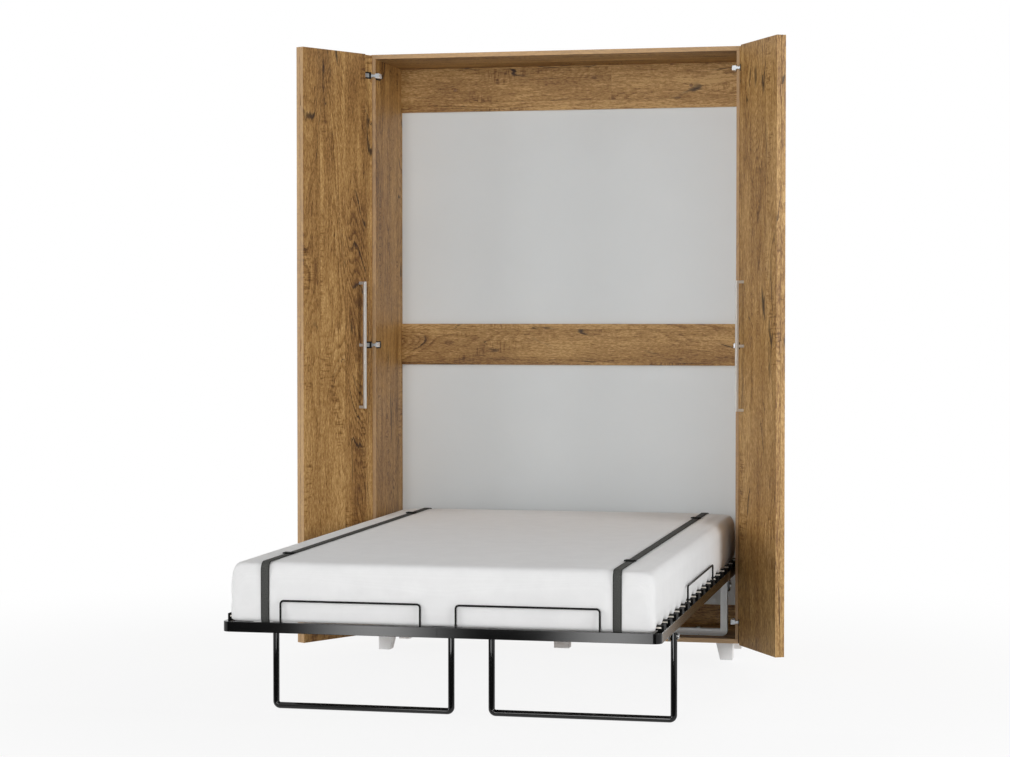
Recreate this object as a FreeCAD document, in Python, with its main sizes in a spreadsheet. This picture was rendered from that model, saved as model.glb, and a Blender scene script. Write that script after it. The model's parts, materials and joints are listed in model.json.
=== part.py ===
import FreeCAD, Part
import math
import os
import re
import Sketcher

# A wall bed, shown open: a tall oak cabinet on feet, two pairs of folding doors, and a steel bed
# frame that turns about two pivots near the floor. Millimetres, +X right, +Y to the wall, +Z up.
# The origin is on the floor, in the middle of the whole object's plan.

doc = FreeCAD.newDocument("WallBed")
sheet = doc.addObject("Spreadsheet::Sheet", "Dims")
PARTS = []
SIDES = ((-1, "left"), (1, "right"))

DIMENSIONS = {
    # Cabinet boards and feet
    "cabinet_width": 1354,
    "cabinet_height": 2180,
    "case_depth": 388,
    "board": 16,
    "back_sheet": 3,
    "back_margin": 2,
    "top_rail_height": 164,
    "middle_rail_low": 1041,
    "middle_rail_height": 155,
    "low_rail_height": 74,
    "wall_hole_radius": 4,
    "wall_hole_spacing": 900,
    "wall_hole_height": 2082,
    "foot_height": 60,
    "foot_depth": 45,
    "foot_side_gap": 25,
    "foot_top_width": 59,
    "foot_base_width": 44,
    "rear_foot_back": 291,
    "centre_foot_back": 169,
    "centre_foot_width": 57,
    "case_screw_radius": 3.5,
    "case_screw_length": 50,
    "case_screw_margin": 60,
    # Steel stand inside the cabinet, and the bed's pivots on it
    "stand_tube": 25,
    "stand_half_width": 625,
    "stand_back": 70,
    "stand_top": 272,
    "stand_screw_radius": 4,
    "stand_screw_head": 7,
    "stand_screw_head_height": 4,
    "stand_screw_near": 150,
    "stand_screw_far": 520,
    "pivot_height": 258,
    "pivot_radius": 6,
    "pivot_head_radius": 10,
    "pivot_head_length": 5,
    "pivot_plate": 5,
    "pivot_plate_width": 42,
    "pivot_plate_drop": 20,
    "running_gap": 0.05,
    "side_gap": 0.5,
    # Doors
    "door_low": 63,
    "door_top": 2177,
    "outer_leaf_width": 362,
    "inner_leaf_width": 311,
    "leaf_gap": 1,
    "door_lean": 29.5,
    "hinge_axis_inset": 1,
    "hinge_axis_ahead": 6.5,
    "hinge_axis_depth": 4,
    "hinge_edge": 0.5,
    "hinge_first": 137,
    "hinge_pitch": 983,
    "hinge_height": 14,
    "hinge_knuckle_radius": 4,
    "hinge_knuckle_height": 8,
    "hinge_pin_radius": 2,
    "hinge_ear_gap": 0.2,
    "hinge_recess_depth": 9,
    "hinge_recess_length": 50,
    "hinge_plate_start": 16,
    "hinge_plate_proud": 1.5,
    "hinge_arm_thick": 15,
    "hinge_arm_flat": 7,
    "hinge_arm_length": 45,
    "hinge_link": 6,
    "fold_first": 250,
    "fold_pitch": 870,
    "fold_overhang": 1,
    "fold_height": 40,
    "fold_middle_height": 13.6,
    "fold_ear_gap": 0.2,
    "fold_plate": 2,
    "fold_plate_width": 31,
    "fold_knuckle_radius": 3,
    "fold_notch": 4,
    "fold_pin_radius": 1.5,
    "handle_low": 890,
    "handle_length": 460,
    "handle_section": 10,
    "handle_reach": 30,
    "handle_from_edge": 25,
    "handle_rounding": 1.2,
    # Bed frame
    "bed_reach": 1751,
    "bed_head": 258,
    "bed_half_width": 652,
    "rail_width": 20,
    "rail_height": 30,
    "rail_low": 298,
    "rail_wall": 2,
    "rail_corner": 25,
    "frame_bolt_radius": 4,
    "frame_bolt_head": 7,
    "frame_bolt_head_length": 4,
    "frame_bolt_first": 1560,
    "frame_bolt_pitch": 480,
    "slat_first": 1671,
    "slat_pitch": 126,
    "slat_width": 53,
    "slat_thick": 8,
    "slat_end": 8.5,
    "holder_length": 46,
    "holder_width": 18,
    "holder_seat": 4,
    "holder_rise": 5,
    "wire_radius": 3,
    "bow_top": 395,
    "bow_corner": 10,
    "foot_bow_near": 53,
    "foot_bow_far": 474,
    "side_bow_near": 497,
    "side_bow_far": 1118,
    # Mattress and its straps
    "mattress_half_width": 634,
    "mattress_foot": 1735,
    "mattress_head": 255,
    "mattress_low": 342,
    "mattress_top": 505,
    "mattress_corner": 12,
    "lip_low": 329,
    "lip_inset": 1,
    "lip_depth": 33,
    "lip_overlap": 12,
    "strap_offset": 523,
    "strap_width": 26,
    "strap_thick": 2,
    "strap_clear": 0.5,
    "strap_bend": 40,
    "buckle_width": 36,
    "buckle_length": 20,
    "buckle_thick": 4,
    "buckle_slot": 4,
    "buckle_foot": 1500,
    "buckle_head": 20,
    # Legs
    "leg_outer": 635.8,
    "leg_inner": 53.6,
    "leg_radius": 10,
    "leg_bend": 13,
    "leg_reach": 1308,
    "leg_axis_height": 262,
    "leg_top_above": 12,
    "leg_bolt_radius": 5,
    "leg_bolt_head": 8,
    "leg_bolt_head_length": 5,
    "leg_plate": 5,
    "leg_plate_width": 30,
    "leg_plate_gap": 1,
    "leg_plate_drop": 14,
    # Gas struts between the stand and the bed frame
    "strut_side": 419,
    "strut_base_back": 60,
    "strut_base_height": 150,
    "strut_bed_reach": 450,
    "strut_bed_rise": 22,
    "strut_radius": 11,
    "strut_body": 290,
    "strut_bore_start": 110,
    "strut_rod_start": 120,
    "strut_rod_radius": 5,
    "strut_eye_radius": 9,
    "strut_eye_width": 16,
    "strut_neck": 1,
    "strut_tip_radius": 8,
    "strut_tip_width": 12,
    "strut_pin_radius": 4,
    "strut_pin_head": 7,
    "strut_pin_head_length": 4,
    "strut_plate": 5,
    "strut_plate_width": 50,
    "strut_plate_above": 15,
    "strut_stub_gap": 1,
}

HINGE_COUNT = 3
SLAT_COUNT = 16
FRAME_BOLT_COUNT = 4

# Formulas that many sub-parts share
FRONT = "(bed_reach - case_depth) / 2"
FLOOR_TOP = "foot_height + board"
CEILING = "cabinet_height - board"
CASE_INNER = "cabinet_width / 2 - board"
RAIL_TOP = "rail_low + rail_height"
RAIL_INNER = "bed_half_width - rail_width"
HINGE_X = "cabinet_width / 2 - hinge_axis_inset"
LEAF_2_BACK = "hinge_axis_depth + leaf_gap"
LEAF_2_FRONT = f"{LEAF_2_BACK} + board"
LEAF_END = "outer_leaf_width - hinge_edge"
LEAF_2_START = f"{LEAF_END} - inner_leaf_width"
PIVOT_BACK = "stand_back + stand_tube / 2"

AXES = {
    "+x": FreeCAD.Vector(1, 0, 0),
    "-x": FreeCAD.Vector(-1, 0, 0),
    "+y": FreeCAD.Vector(0, 1, 0),
    "-y": FreeCAD.Vector(0, -1, 0),
    "+z": FreeCAD.Vector(0, 0, 1),
    "-z": FreeCAD.Vector(0, 0, -1),
}
ROD_TURNS = {
    "x": FreeCAD.Rotation(AXES["+y"], 90),
    "y": FreeCAD.Rotation(AXES["+x"], -90),
    "z": FreeCAD.Rotation(),
}


# Tools: the sheet, formulas, solids


def fill_sheet():
    """Writes each driving dimension to a cell of its own."""
    for row, (alias, size) in enumerate(DIMENSIONS.items(), start=1):
        sheet.set(f"A{row}", alias.replace("_", " "))
        sheet.set(f"B{row}", str(size))
        sheet.setAlias(f"B{row}", alias)
    doc.recompute()


def bound(formula):
    """Turns the names of dimensions in a formula into references to their cells."""
    return re.sub(r"[a-z][a-z0-9_]*", lambda word: cell(word.group()), formula)


def cell(word):
    return f"Dims.{word}" if word in DIMENSIONS else word


def flip(side, low, high):
    """A span along X on the right side, or its mirror image on the left."""
    return (low, high) if side > 0 else (f"-({high})", f"-({low})")


def sided(side, formula):
    return formula if side > 0 else f"-({formula})"


def behind(depth):
    """A place along Y, counted from the cabinet's front towards the wall."""
    return f"({FRONT} + {depth})"


def ahead(reach):
    """A place along Y, counted from the cabinet's front into the room."""
    return f"({FRONT} - ({reach}))"


def about(middle, width):
    return (f"{middle} - ({width}) / 2", f"{middle} + ({width}) / 2")


def part(label, solid):
    """Names a finished sub-part."""
    solid.Label = label
    PARTS.append(solid)
    return solid


def place(solid, x, y, z):
    for axis, formula in zip("xyz", (x, y, z)):
        solid.setExpression(f"Placement.Base.{axis}", bound(formula))


def block(x, y, z):
    """A box between three pairs of formulas."""
    box = doc.addObject("Part::Box", "Block")
    for size, (low, high) in zip(("Length", "Width", "Height"), (x, y, z)):
        box.setExpression(size, bound(f"({high}) - ({low})"))
    place(box, x[0], y[0], z[0])
    return box


def rod(radius, axis, first, second, span):
    """A cylinder along one axis; first and second are its centre on the other two, in XYZ order."""
    low, high = span
    cylinder = doc.addObject("Part::Cylinder", "Rod")
    cylinder.setExpression("Radius", bound(radius))
    cylinder.setExpression("Height", bound(f"({high}) - ({low})"))
    cylinder.Placement.Rotation = ROD_TURNS[axis]
    centre = [first, second]
    centre.insert("xyz".index(axis), low)
    place(cylinder, *centre)
    return cylinder


def quarter(solid, start, end, centre):
    """Turns a quarter-round solid so that it runs from one direction to the other."""
    first, second = AXES[start], AXES[end]
    solid.Placement.Rotation = FreeCAD.Rotation(first, second, first.cross(second), "XYZ")
    place(solid, *centre)


def elbow(outer, inner, height, start, end, centre):
    """A quarter of a flat ring, the bend of a square tube or a strap."""
    rings = []
    for radius in (outer, inner):
        ring = doc.addObject("Part::Cylinder", "Ring")
        ring.setExpression("Radius", bound(radius))
        ring.setExpression("Height", bound(height))
        ring.Angle = 90
        quarter(ring, start, end, centre)
        rings.append(ring)
    return cut(*rings)


def bend(radius, tube, start, end, centre):
    """A quarter of a torus, the bend of a round tube or a wire."""
    torus = doc.addObject("Part::Torus", "Bend")
    torus.setExpression("Radius1", bound(radius))
    torus.setExpression("Radius2", bound(tube))
    torus.Angle3 = 90
    quarter(torus, start, end, centre)
    return torus


def fuse(*solids):
    if len(solids) == 1:
        return solids[0]
    union = doc.addObject("Part::MultiFuse", "Union")
    union.Shapes = list(solids)
    union.Refine = True
    return union


def cut(base, *tools):
    result = doc.addObject("Part::Cut", "Cut")
    result.Base = base
    result.Tool = fuse(*tools)
    return result


def group(solids):
    """Separate solids that share one node."""
    bundle = doc.addObject("Part::Compound", "Group")
    bundle.Links = list(solids)
    return bundle


def padded_outline(plane, corners, length):
    """A body padded from a closed outline; each corner is a pair of formulas, "0" on an axis."""
    body = doc.addObject("PartDesign::Body", "Body")
    sketch = body.newObject("Sketcher::SketchObject", "Outline")
    support = [item for item in body.Origin.OriginFeatures if item.Role == plane]
    sketch.AttachmentSupport = [(support[0], "")]
    sketch.MapMode = "FlatFace"
    count = len(corners)
    # The corners start on a curve, and the rows below move each one to its place.
    starts = [FreeCAD.Vector(1 + index, 1 + index * index, 0) for index in range(count)]
    for index in range(count):
        sketch.addGeometry(Part.LineSegment(starts[index], starts[(index + 1) % count]))
    for index in range(count):
        sketch.addConstraint(Sketcher.Constraint("Coincident", index, 2, (index + 1) % count, 1))
    for index, (right, up) in enumerate(corners):
        fix_corner(sketch, index, "DistanceX", right, -2, starts[index].x)
        fix_corner(sketch, index, "DistanceY", up, -1, starts[index].y)
    pad = body.newObject("PartDesign::Pad", "Pad")
    pad.Profile = sketch
    pad.setExpression("Length", bound(length))
    return body, pad


def fix_corner(sketch, index, kind, formula, axis, start):
    if formula == "0":
        sketch.addConstraint(Sketcher.Constraint("PointOnObject", index, 1, axis))
        return
    row = sketch.addConstraint(Sketcher.Constraint(kind, -1, 1, index, 1, start))
    sketch.setExpression(f"Constraints[{row}]", bound(formula))


# Cabinet


def make_boards():
    """The side, top and bottom boards."""
    depth = (behind("0"), behind("case_depth - back_sheet"))
    width = ("-cabinet_width / 2", "cabinet_width / 2")
    for side, name in SIDES:
        thick = flip(side, CASE_INNER, "cabinet_width / 2")
        part(f"{name}_side_panel", block(thick, depth, (FLOOR_TOP, CEILING)))
    part("top_panel", block(width, depth, (CEILING, "cabinet_height")))
    part("bottom_panel", block(width, depth, ("foot_height", FLOOR_TOP)))


def wall_holes():
    """Two screw holes through the top rail and the back sheet."""
    span = (behind("case_depth - back_sheet - board"), behind("case_depth"))
    for side, _ in SIDES:
        yield rod("wall_hole_radius", "y", sided(side, "wall_hole_spacing / 2"), "wall_hole_height", span)


def make_back():
    """Three rails between the sides, and the thin sheet nailed on behind them."""
    width = (f"-({CASE_INNER})", CASE_INNER)
    depth = (behind("case_depth - back_sheet - board"), behind("case_depth - back_sheet"))
    top = block(width, depth, (f"{CEILING} - top_rail_height", CEILING))
    part("top_back_rail", cut(top, *wall_holes()))
    middle = ("middle_rail_low", "middle_rail_low + middle_rail_height")
    part("middle_back_rail", block(width, depth, middle))
    part("bottom_back_rail", block(width, depth, (FLOOR_TOP, f"{FLOOR_TOP} + low_rail_height")))
    sheet_solid = block(
        about("0", "cabinet_width - 2 * back_margin"),
        (behind("case_depth - back_sheet"), behind("case_depth")),
        ("foot_height + back_margin", "cabinet_height - back_margin"),
    )
    part("back_panel", cut(sheet_solid, *wall_holes()))


def foot(side, set_back):
    """A tapered block whose inner side slopes."""
    slope = "foot_top_width - foot_base_width"
    corners = [(slope, "0"), ("foot_top_width", "0"), ("foot_top_width", "foot_height"), ("0", "foot_height")]
    body, _ = padded_outline("XZ_Plane", corners, "foot_depth")
    inner = "cabinet_width / 2 - foot_side_gap - foot_top_width"
    far = f"{set_back} + foot_depth"
    if side < 0:
        body.Placement.Rotation = FreeCAD.Rotation(AXES["+z"], 180)
        far = set_back
    place(body, sided(side, inner), behind(far), "0")
    return body


def make_feet():
    for row, set_back in (("front", "0"), ("rear", "rear_foot_back")):
        part(f"{row}_feet", group([foot(side, set_back) for side, _ in SIDES]))
    depth = (behind("centre_foot_back"), behind("centre_foot_back + foot_depth"))
    part("centre_foot", block(about("0", "centre_foot_width"), depth, ("0", "foot_height")))


def make_case_screws():
    """Screws through the top and bottom boards into the ends of the sides."""
    screws = []
    spans = (
        ("cabinet_height - case_screw_length", "cabinet_height"),
        ("foot_height", "foot_height + case_screw_length"),
    )
    for side, _ in SIDES:
        middle = sided(side, "cabinet_width / 2 - board / 2")
        for depth in ("case_screw_margin", "case_depth - case_screw_margin"):
            screws += [rod("case_screw_radius", "z", middle, behind(depth), span) for span in spans]
    part("cabinet_screws", group(screws))


# Stand and pivots


def make_stand():
    """Square tube welded into a wide U, with a cross hole at the top of each upright."""
    depth = (behind("stand_back"), behind("stand_back + stand_tube"))
    run_top = f"{FLOOR_TOP} + stand_tube"
    runs = [block(("-stand_half_width", "stand_half_width"), depth, (FLOOR_TOP, run_top))]
    holes = []
    for side, _ in SIDES:
        thick = flip(side, "stand_half_width - stand_tube", "stand_half_width")
        runs.append(block(thick, depth, (run_top, "stand_top")))
        holes.append(rod("pivot_radius", "x", behind(PIVOT_BACK), "pivot_height", thick))
    part("support_frame", cut(fuse(*runs), *holes))


def make_stand_screws():
    """Screws that hold the stand down on the bottom board."""
    screws = []
    for side, _ in SIDES:
        for offset in ("stand_screw_near", "stand_screw_far"):
            centre = (sided(side, offset), behind(PIVOT_BACK))
            top = f"{FLOOR_TOP} + stand_tube"
            shank = rod("stand_screw_radius", "z", *centre, ("foot_height", top))
            head = rod("stand_screw_head", "z", *centre, (top, f"{top} + stand_screw_head_height"))
            screws.append(fuse(shank, head))
    part("stand_screws", group(screws))


def make_pivots():
    """The two pins in the stand, and the plates on the bed frame that turn on them."""
    pins = []
    plates = []
    centre = (behind(PIVOT_BACK), "pivot_height")
    for side, _ in SIDES:
        head = f"{RAIL_INNER} + side_gap"
        shank_span = flip(side, "stand_half_width - stand_tube", head)
        head_span = flip(side, head, f"{head} + pivot_head_length")
        shank = rod("pivot_radius", "x", *centre, shank_span)
        pins.append(fuse(shank, rod("pivot_head_radius", "x", *centre, head_span)))
        thick = flip(side, f"{RAIL_INNER} - pivot_plate", RAIL_INNER)
        plate = block(thick, about(behind(PIVOT_BACK), "pivot_plate_width"),
                      ("pivot_height - pivot_plate_drop", RAIL_TOP))
        hole = rod("pivot_radius + running_gap", "x", *centre, thick)
        plates.append(cut(plate, hole))
    part("pivot_pins", group(pins))
    part("pivot_plates", group(plates))


# Doors. Each door has axes of its own: X along the leaves from the hinge outwards, Y across them,
# Z up, with the hinge axis at the origin. The leaves stand folded together, open past the side.


def door_angle(side):
    return f"270 + {side} * door_lean"


def on_door(side, solid):
    """Sets a solid made in a door's own axes at the place of that door."""
    solid.Placement.Rotation = FreeCAD.Rotation(AXES["+z"], 270 + side)
    solid.setExpression("Placement.Rotation.Angle", bound(door_angle(side)))
    place(solid, sided(side, HINGE_X), ahead("hinge_axis_ahead"), "0")
    return solid


def across(side, low, high):
    """A span across the leaves, counted from the hinge axis towards the bed."""
    return flip(-side, low, high)


def hinge_levels():
    return [f"(hinge_first + {index} * hinge_pitch)" for index in range(HINGE_COUNT)]


def fold_levels():
    return [f"(fold_first + {index} * fold_pitch)" for index in range(HINGE_COUNT)]


def make_hinge_arms():
    """Arms on the cabinet's sides that reach round the front edge. The middle ones are flat,
    so that the bed frame passes them."""
    arms = []
    pins = []
    pin_y = ahead("hinge_axis_ahead")
    for side, _ in SIDES:
        for index, level in enumerate(hinge_levels()):
            thick = "hinge_arm_flat" if index == 1 else "hinge_arm_thick"
            front = ahead("hinge_axis_ahead + hinge_link / 2")
            link_back = ahead("hinge_axis_ahead - hinge_link / 2")
            inner = f"{CASE_INNER} - {thick}"
            tall = about(level, "hinge_height")
            middle = about(level, "hinge_knuckle_height")
            pin_x = sided(side, HINGE_X)
            base = block(flip(side, inner, CASE_INNER), (front, behind("hinge_arm_length")), tall)
            link = block(flip(side, inner, HINGE_X), (front, link_back), middle)
            knuckle = rod("hinge_knuckle_radius", "z", pin_x, pin_y, middle)
            bore = rod("hinge_pin_radius", "z", pin_x, pin_y, middle)
            arms.append(cut(fuse(base, link, knuckle), bore))
            pin_span = about(level, "hinge_height - 2 * hinge_ear_gap")
            pins.append(rod("hinge_pin_radius", "z", pin_x, pin_y, pin_span))
    part("hinge_arms", group(arms))
    part("hinge_pins", group(pins))


def make_hinge_leaves(side, name):
    """Plates let into the outer leaf, each with two ears on the hinge pin."""
    plates = []
    deep = "hinge_axis_depth - hinge_recess_depth"
    proud = "hinge_axis_depth + hinge_plate_proud"
    ear_low = "hinge_knuckle_height / 2 + hinge_ear_gap"
    for level in hinge_levels():
        plate_span = ("hinge_plate_start", "hinge_recess_length")
        pieces = [block(plate_span, across(side, deep, proud), about(level, "hinge_height"))]
        bores = []
        for way in (-1, 1):
            low, high = flip(way, ear_low, "hinge_height / 2")
            ear = (f"{level} + {low}", f"{level} + {high}")
            pieces.append(rod("hinge_knuckle_radius", "z", "0", "0", ear))
            pieces.append(block(("0", "hinge_plate_start"),
                                across(side, "0", "hinge_knuckle_radius"), ear))
            bores.append(rod("hinge_pin_radius + running_gap", "z", "0", "0", ear))
        plates.append(cut(fuse(*pieces), *bores))
    part(f"{name}_hinge_leaves", on_door(side, group(plates)))


def hinge_recesses(side):
    """Room in the outer leaf for the hinge plates and knuckles."""
    deep = across(side, "hinge_axis_depth - hinge_recess_depth", "hinge_axis_depth")
    for level in hinge_levels():
        tall = about(level, "hinge_height")
        yield block(("-hinge_edge", "hinge_recess_length"), deep, tall)


def fold_recesses(side, low, high):
    """Room in one leaf for the fold hinges; low and high are the plate's faces."""
    start = f"{LEAF_END} - fold_plate_width"
    knuckle = (f"{LEAF_2_BACK} - leaf_gap / 2 - fold_notch", f"{LEAF_2_BACK} - leaf_gap / 2 + fold_notch")
    for level in fold_levels():
        yield block((start, LEAF_END), across(side, low, high), about(level, "fold_height"))
        notch_height = about(level, "fold_height + 2 * fold_ear_gap")
        yield block((f"{LEAF_END} - fold_notch", LEAF_END), across(side, *knuckle), notch_height)


def make_leaves(side, name):
    """The outer leaf on the cabinet's hinges, and the inner leaf folded against it."""
    tall = ("door_low", "door_top")
    outer_thick = across(side, "hinge_axis_depth - board", "hinge_axis_depth")
    outer = block(("-hinge_edge", LEAF_END), outer_thick, tall)
    outer_fold = fold_recesses(side, "hinge_axis_depth - fold_plate", "hinge_axis_depth")
    part(f"{name}_outer_door", on_door(side, cut(outer, *hinge_recesses(side), *outer_fold)))
    inner = block((LEAF_2_START, LEAF_END), across(side, LEAF_2_BACK, LEAF_2_FRONT), tall)
    inner_fold = fold_recesses(side, LEAF_2_BACK, f"{LEAF_2_BACK} + fold_plate")
    part(f"{name}_inner_door", on_door(side, cut(inner, *inner_fold)))


def make_fold_hinges(side, name):
    """Flap hinges that join the two leaves at their outer edge."""
    axis_x = f"{LEAF_END} + fold_overhang"
    axis_y = across(side, "0", f"{LEAF_2_BACK} - leaf_gap / 2")[1 if side < 0 else 0]
    along = (f"{LEAF_END} - fold_plate_width", LEAF_END)
    outer_thick = across(side, "hinge_axis_depth - fold_plate", "hinge_axis_depth")
    inner_thick = across(side, LEAF_2_BACK, f"{LEAF_2_BACK} + fold_plate")
    outer_flaps, inner_flaps, pins = [], [], []
    for level in fold_levels():
        tall = about(level, "fold_height")
        middle = about(level, "fold_middle_height")
        ears = ((tall[0], f"{middle[0]} - fold_ear_gap"), (f"{middle[1]} + fold_ear_gap", tall[1]))
        flap = [block(along, outer_thick, tall)]
        bores = []
        for ear in ears:
            flap.append(rod("fold_knuckle_radius", "z", axis_x, axis_y, ear))
            bores.append(rod("fold_pin_radius", "z", axis_x, axis_y, ear))
        middle_room = rod("fold_knuckle_radius + fold_ear_gap", "z", axis_x, axis_y,
                          (f"{middle[0]} - fold_ear_gap", f"{middle[1]} + fold_ear_gap"))
        outer_flaps.append(cut(fuse(*flap), *bores, middle_room))
        inner_plate = block(along, inner_thick, tall)
        knuckle = rod("fold_knuckle_radius", "z", axis_x, axis_y, middle)
        rooms = ((tall[0], middle[0]), (middle[1], tall[1]))
        ear_rooms = [rod("fold_knuckle_radius + fold_ear_gap", "z", axis_x, axis_y, room) for room in rooms]
        bore = rod("fold_pin_radius + running_gap", "z", axis_x, axis_y, middle)
        inner_flaps.append(cut(fuse(cut(inner_plate, *ear_rooms), knuckle), bore))
        pins.append(rod("fold_pin_radius", "z", axis_x, axis_y, tall))
    part(f"{name}_fold_flaps_outer", on_door(side, group(outer_flaps)))
    part(f"{name}_fold_flaps_inner", on_door(side, group(inner_flaps)))
    part(f"{name}_fold_pins", on_door(side, group(pins)))


def make_handle(side, name):
    """A bar on three posts, near the inner leaf's free edge."""
    bar = "handle_reach - handle_section"
    middle = "(handle_length - handle_section) / 2"
    corners = [
        ("0", "0"), ("handle_reach", "0"),
        ("handle_reach", "handle_length"), ("0", "handle_length"),
        ("0", "handle_length - handle_section"), (bar, "handle_length - handle_section"),
        (bar, f"{middle} + handle_section"), ("0", f"{middle} + handle_section"),
        ("0", middle), (bar, middle),
        (bar, "handle_section"), ("0", "handle_section"),
    ]
    body, pad = padded_outline("YZ_Plane", corners, "handle_section")
    doc.recompute()
    rounding = body.newObject("PartDesign::Fillet", "Rounding")
    rounding.Base = (pad, [f"Edge{index + 1}" for index in range(len(pad.Shape.Edges))])
    rounding.setExpression("Radius", bound("handle_rounding"))
    # The outline lies across the leaf, so the right handle is turned half round.
    along = f"({LEAF_2_START} + handle_from_edge)"
    if side > 0:
        along = f"({along} + handle_section)"
    turn = f"({door_angle(side)})"
    out = f"({LEAF_2_FRONT})"
    x = f"{sided(side, HINGE_X)} + {along} * cos({turn}) + {side} * {out} * sin({turn})"
    y = f"{ahead('hinge_axis_ahead')} + {along} * sin({turn}) - {side} * {out} * cos({turn})"
    half_turn = 180 if side > 0 else 0
    body.Placement.Rotation = FreeCAD.Rotation(AXES["+z"], 1)
    body.setExpression("Placement.Rotation.Angle", bound(f"{door_angle(side)} - {half_turn}"))
    place(body, x, y, "handle_low")
    part(f"{name}_handle", body)


# Bed frame


def bent_rail(side, inset):
    """The foot half and the side of the frame as one bent bar, drawn in by an inset all round."""
    front = ahead(f"bed_reach - {inset}")
    back = ahead(f"bed_reach - rail_width + {inset}")
    tall = (f"rail_low + {inset}", f"{RAIL_TOP} - {inset}")
    turn_x = "bed_half_width - rail_corner"
    turn_y = ahead("bed_reach - rail_corner")
    foot_run = block(flip(side, "0", turn_x), (front, back), tall)
    side_run = block(
        flip(side, f"{RAIL_INNER} + {inset}", f"bed_half_width - {inset}"),
        (turn_y, behind("bed_head")),
        tall,
    )
    ways = ("-y", "+x") if side > 0 else ("-x", "-y")
    corner = elbow(
        f"rail_corner - {inset}",
        f"rail_corner - rail_width + {inset}",
        f"rail_height - 2 * {inset}",
        *ways,
        (sided(side, turn_x), turn_y, f"rail_low + {inset}"),
    )
    return fuse(foot_run, side_run, corner)


def tube_along_y(side, low, high, run):
    tall = ("rail_low", RAIL_TOP)
    bore = (f"{low} + rail_wall", f"{high} - rail_wall")
    hollow = ("rail_low + rail_wall", f"{RAIL_TOP} - rail_wall")
    return cut(block(flip(side, low, high), run, tall), block(flip(side, *bore), run, hollow))


def tube_along_x(side, low, high, middle):
    run = flip(side, low, high)
    hollow = ("rail_low + rail_wall", f"{RAIL_TOP} - rail_wall")
    solid = block(run, about(middle, "rail_width"), ("rail_low", RAIL_TOP))
    return cut(solid, block(run, about(middle, "rail_width - 2 * rail_wall"), hollow))


def make_frame():
    """Two halves of rectangular tube, bolted together along the middle."""
    head_rails, cross_tubes = [], []
    beam_run = (ahead("bed_reach - rail_width"), behind("bed_head - rail_width"))
    cross_places = (ahead("leg_reach"), behind(f"{PIVOT_BACK} - strut_bed_reach"))
    for side, name in SIDES:
        part(f"{name}_frame_tube", cut(bent_rail(side, "0"), bent_rail(side, "rail_wall")))
        part(f"{name}_centre_beam", tube_along_y(side, "0", "rail_width", beam_run))
        head_rails.append(tube_along_x(side, "0", RAIL_INNER, behind("bed_head - rail_width / 2")))
        cross_tubes += [tube_along_x(side, "rail_width", RAIL_INNER, middle) for middle in cross_places]
    part("head_rails", group(head_rails))
    part("cross_tubes", group(cross_tubes))


def make_frame_bolts():
    bolts = []
    for index in range(FRAME_BOLT_COUNT):
        centre = (ahead(f"frame_bolt_first - {index} * frame_bolt_pitch"), "rail_low + rail_height / 2")
        pieces = [rod("frame_bolt_radius", "x", *centre, ("-rail_width", "rail_width"))]
        for side, _ in SIDES:
            span = flip(side, "rail_width", "rail_width + frame_bolt_head_length")
            pieces.append(rod("frame_bolt_head", "x", *centre, span))
        bolts.append(fuse(*pieces))
    part("frame_bolts", group(bolts))


def slat_places():
    return [ahead(f"slat_first - {index} * slat_pitch") for index in range(SLAT_COUNT)]


def make_slats():
    """Slats across each half, with a plastic holder under both ends."""
    seat = f"{RAIL_TOP} + holder_seat"
    slat_top = f"{seat} + slat_thick"
    holders = []
    for side, name in SIDES:
        outer = "bed_half_width - slat_end"
        slats = []
        for middle in slat_places():
            slats.append(block(flip(side, "slat_end", outer), about(middle, "slat_width"), (seat, slat_top)))
            along = about(middle, "holder_length")
            base = ("bed_half_width - side_gap - holder_width", "bed_half_width - side_gap")
            outer_base = block(flip(side, *base), along, (RAIL_TOP, seat))
            outer_stop = block(flip(side, outer, base[1]), along, (seat, f"{slat_top} + holder_rise"))
            inner_base = block(flip(side, "side_gap", "side_gap + holder_width"), along, (RAIL_TOP, seat))
            inner_stop = block(flip(side, "side_gap", "slat_end"), along, (seat, slat_top))
            holders += [fuse(outer_base, outer_stop), fuse(inner_base, inner_stop)]
        part(f"{name}_slats", group(slats))
    part("slat_holders", group(holders))


def foot_bow(side):
    """A wire loop on the foot rail that keeps the mattress in place."""
    middle = ahead("bed_reach - rail_width / 2")
    top = "bow_top - wire_radius"
    low_turn = f"{top} - bow_corner"
    near_turn = "foot_bow_near + bow_corner"
    far_turn = "foot_bow_far - bow_corner"
    outward, inward = ("+x", "-x") if side > 0 else ("-x", "+x")
    return fuse(
        rod("wire_radius", "z", sided(side, "foot_bow_near"), middle, (RAIL_TOP, low_turn)),
        rod("wire_radius", "z", sided(side, "foot_bow_far"), middle, (RAIL_TOP, low_turn)),
        rod("wire_radius", "x", middle, top, flip(side, near_turn, far_turn)),
        bend("bow_corner", "wire_radius", inward, "+z", (sided(side, near_turn), middle, low_turn)),
        bend("bow_corner", "wire_radius", outward, "+z", (sided(side, far_turn), middle, low_turn)),
    )


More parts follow.
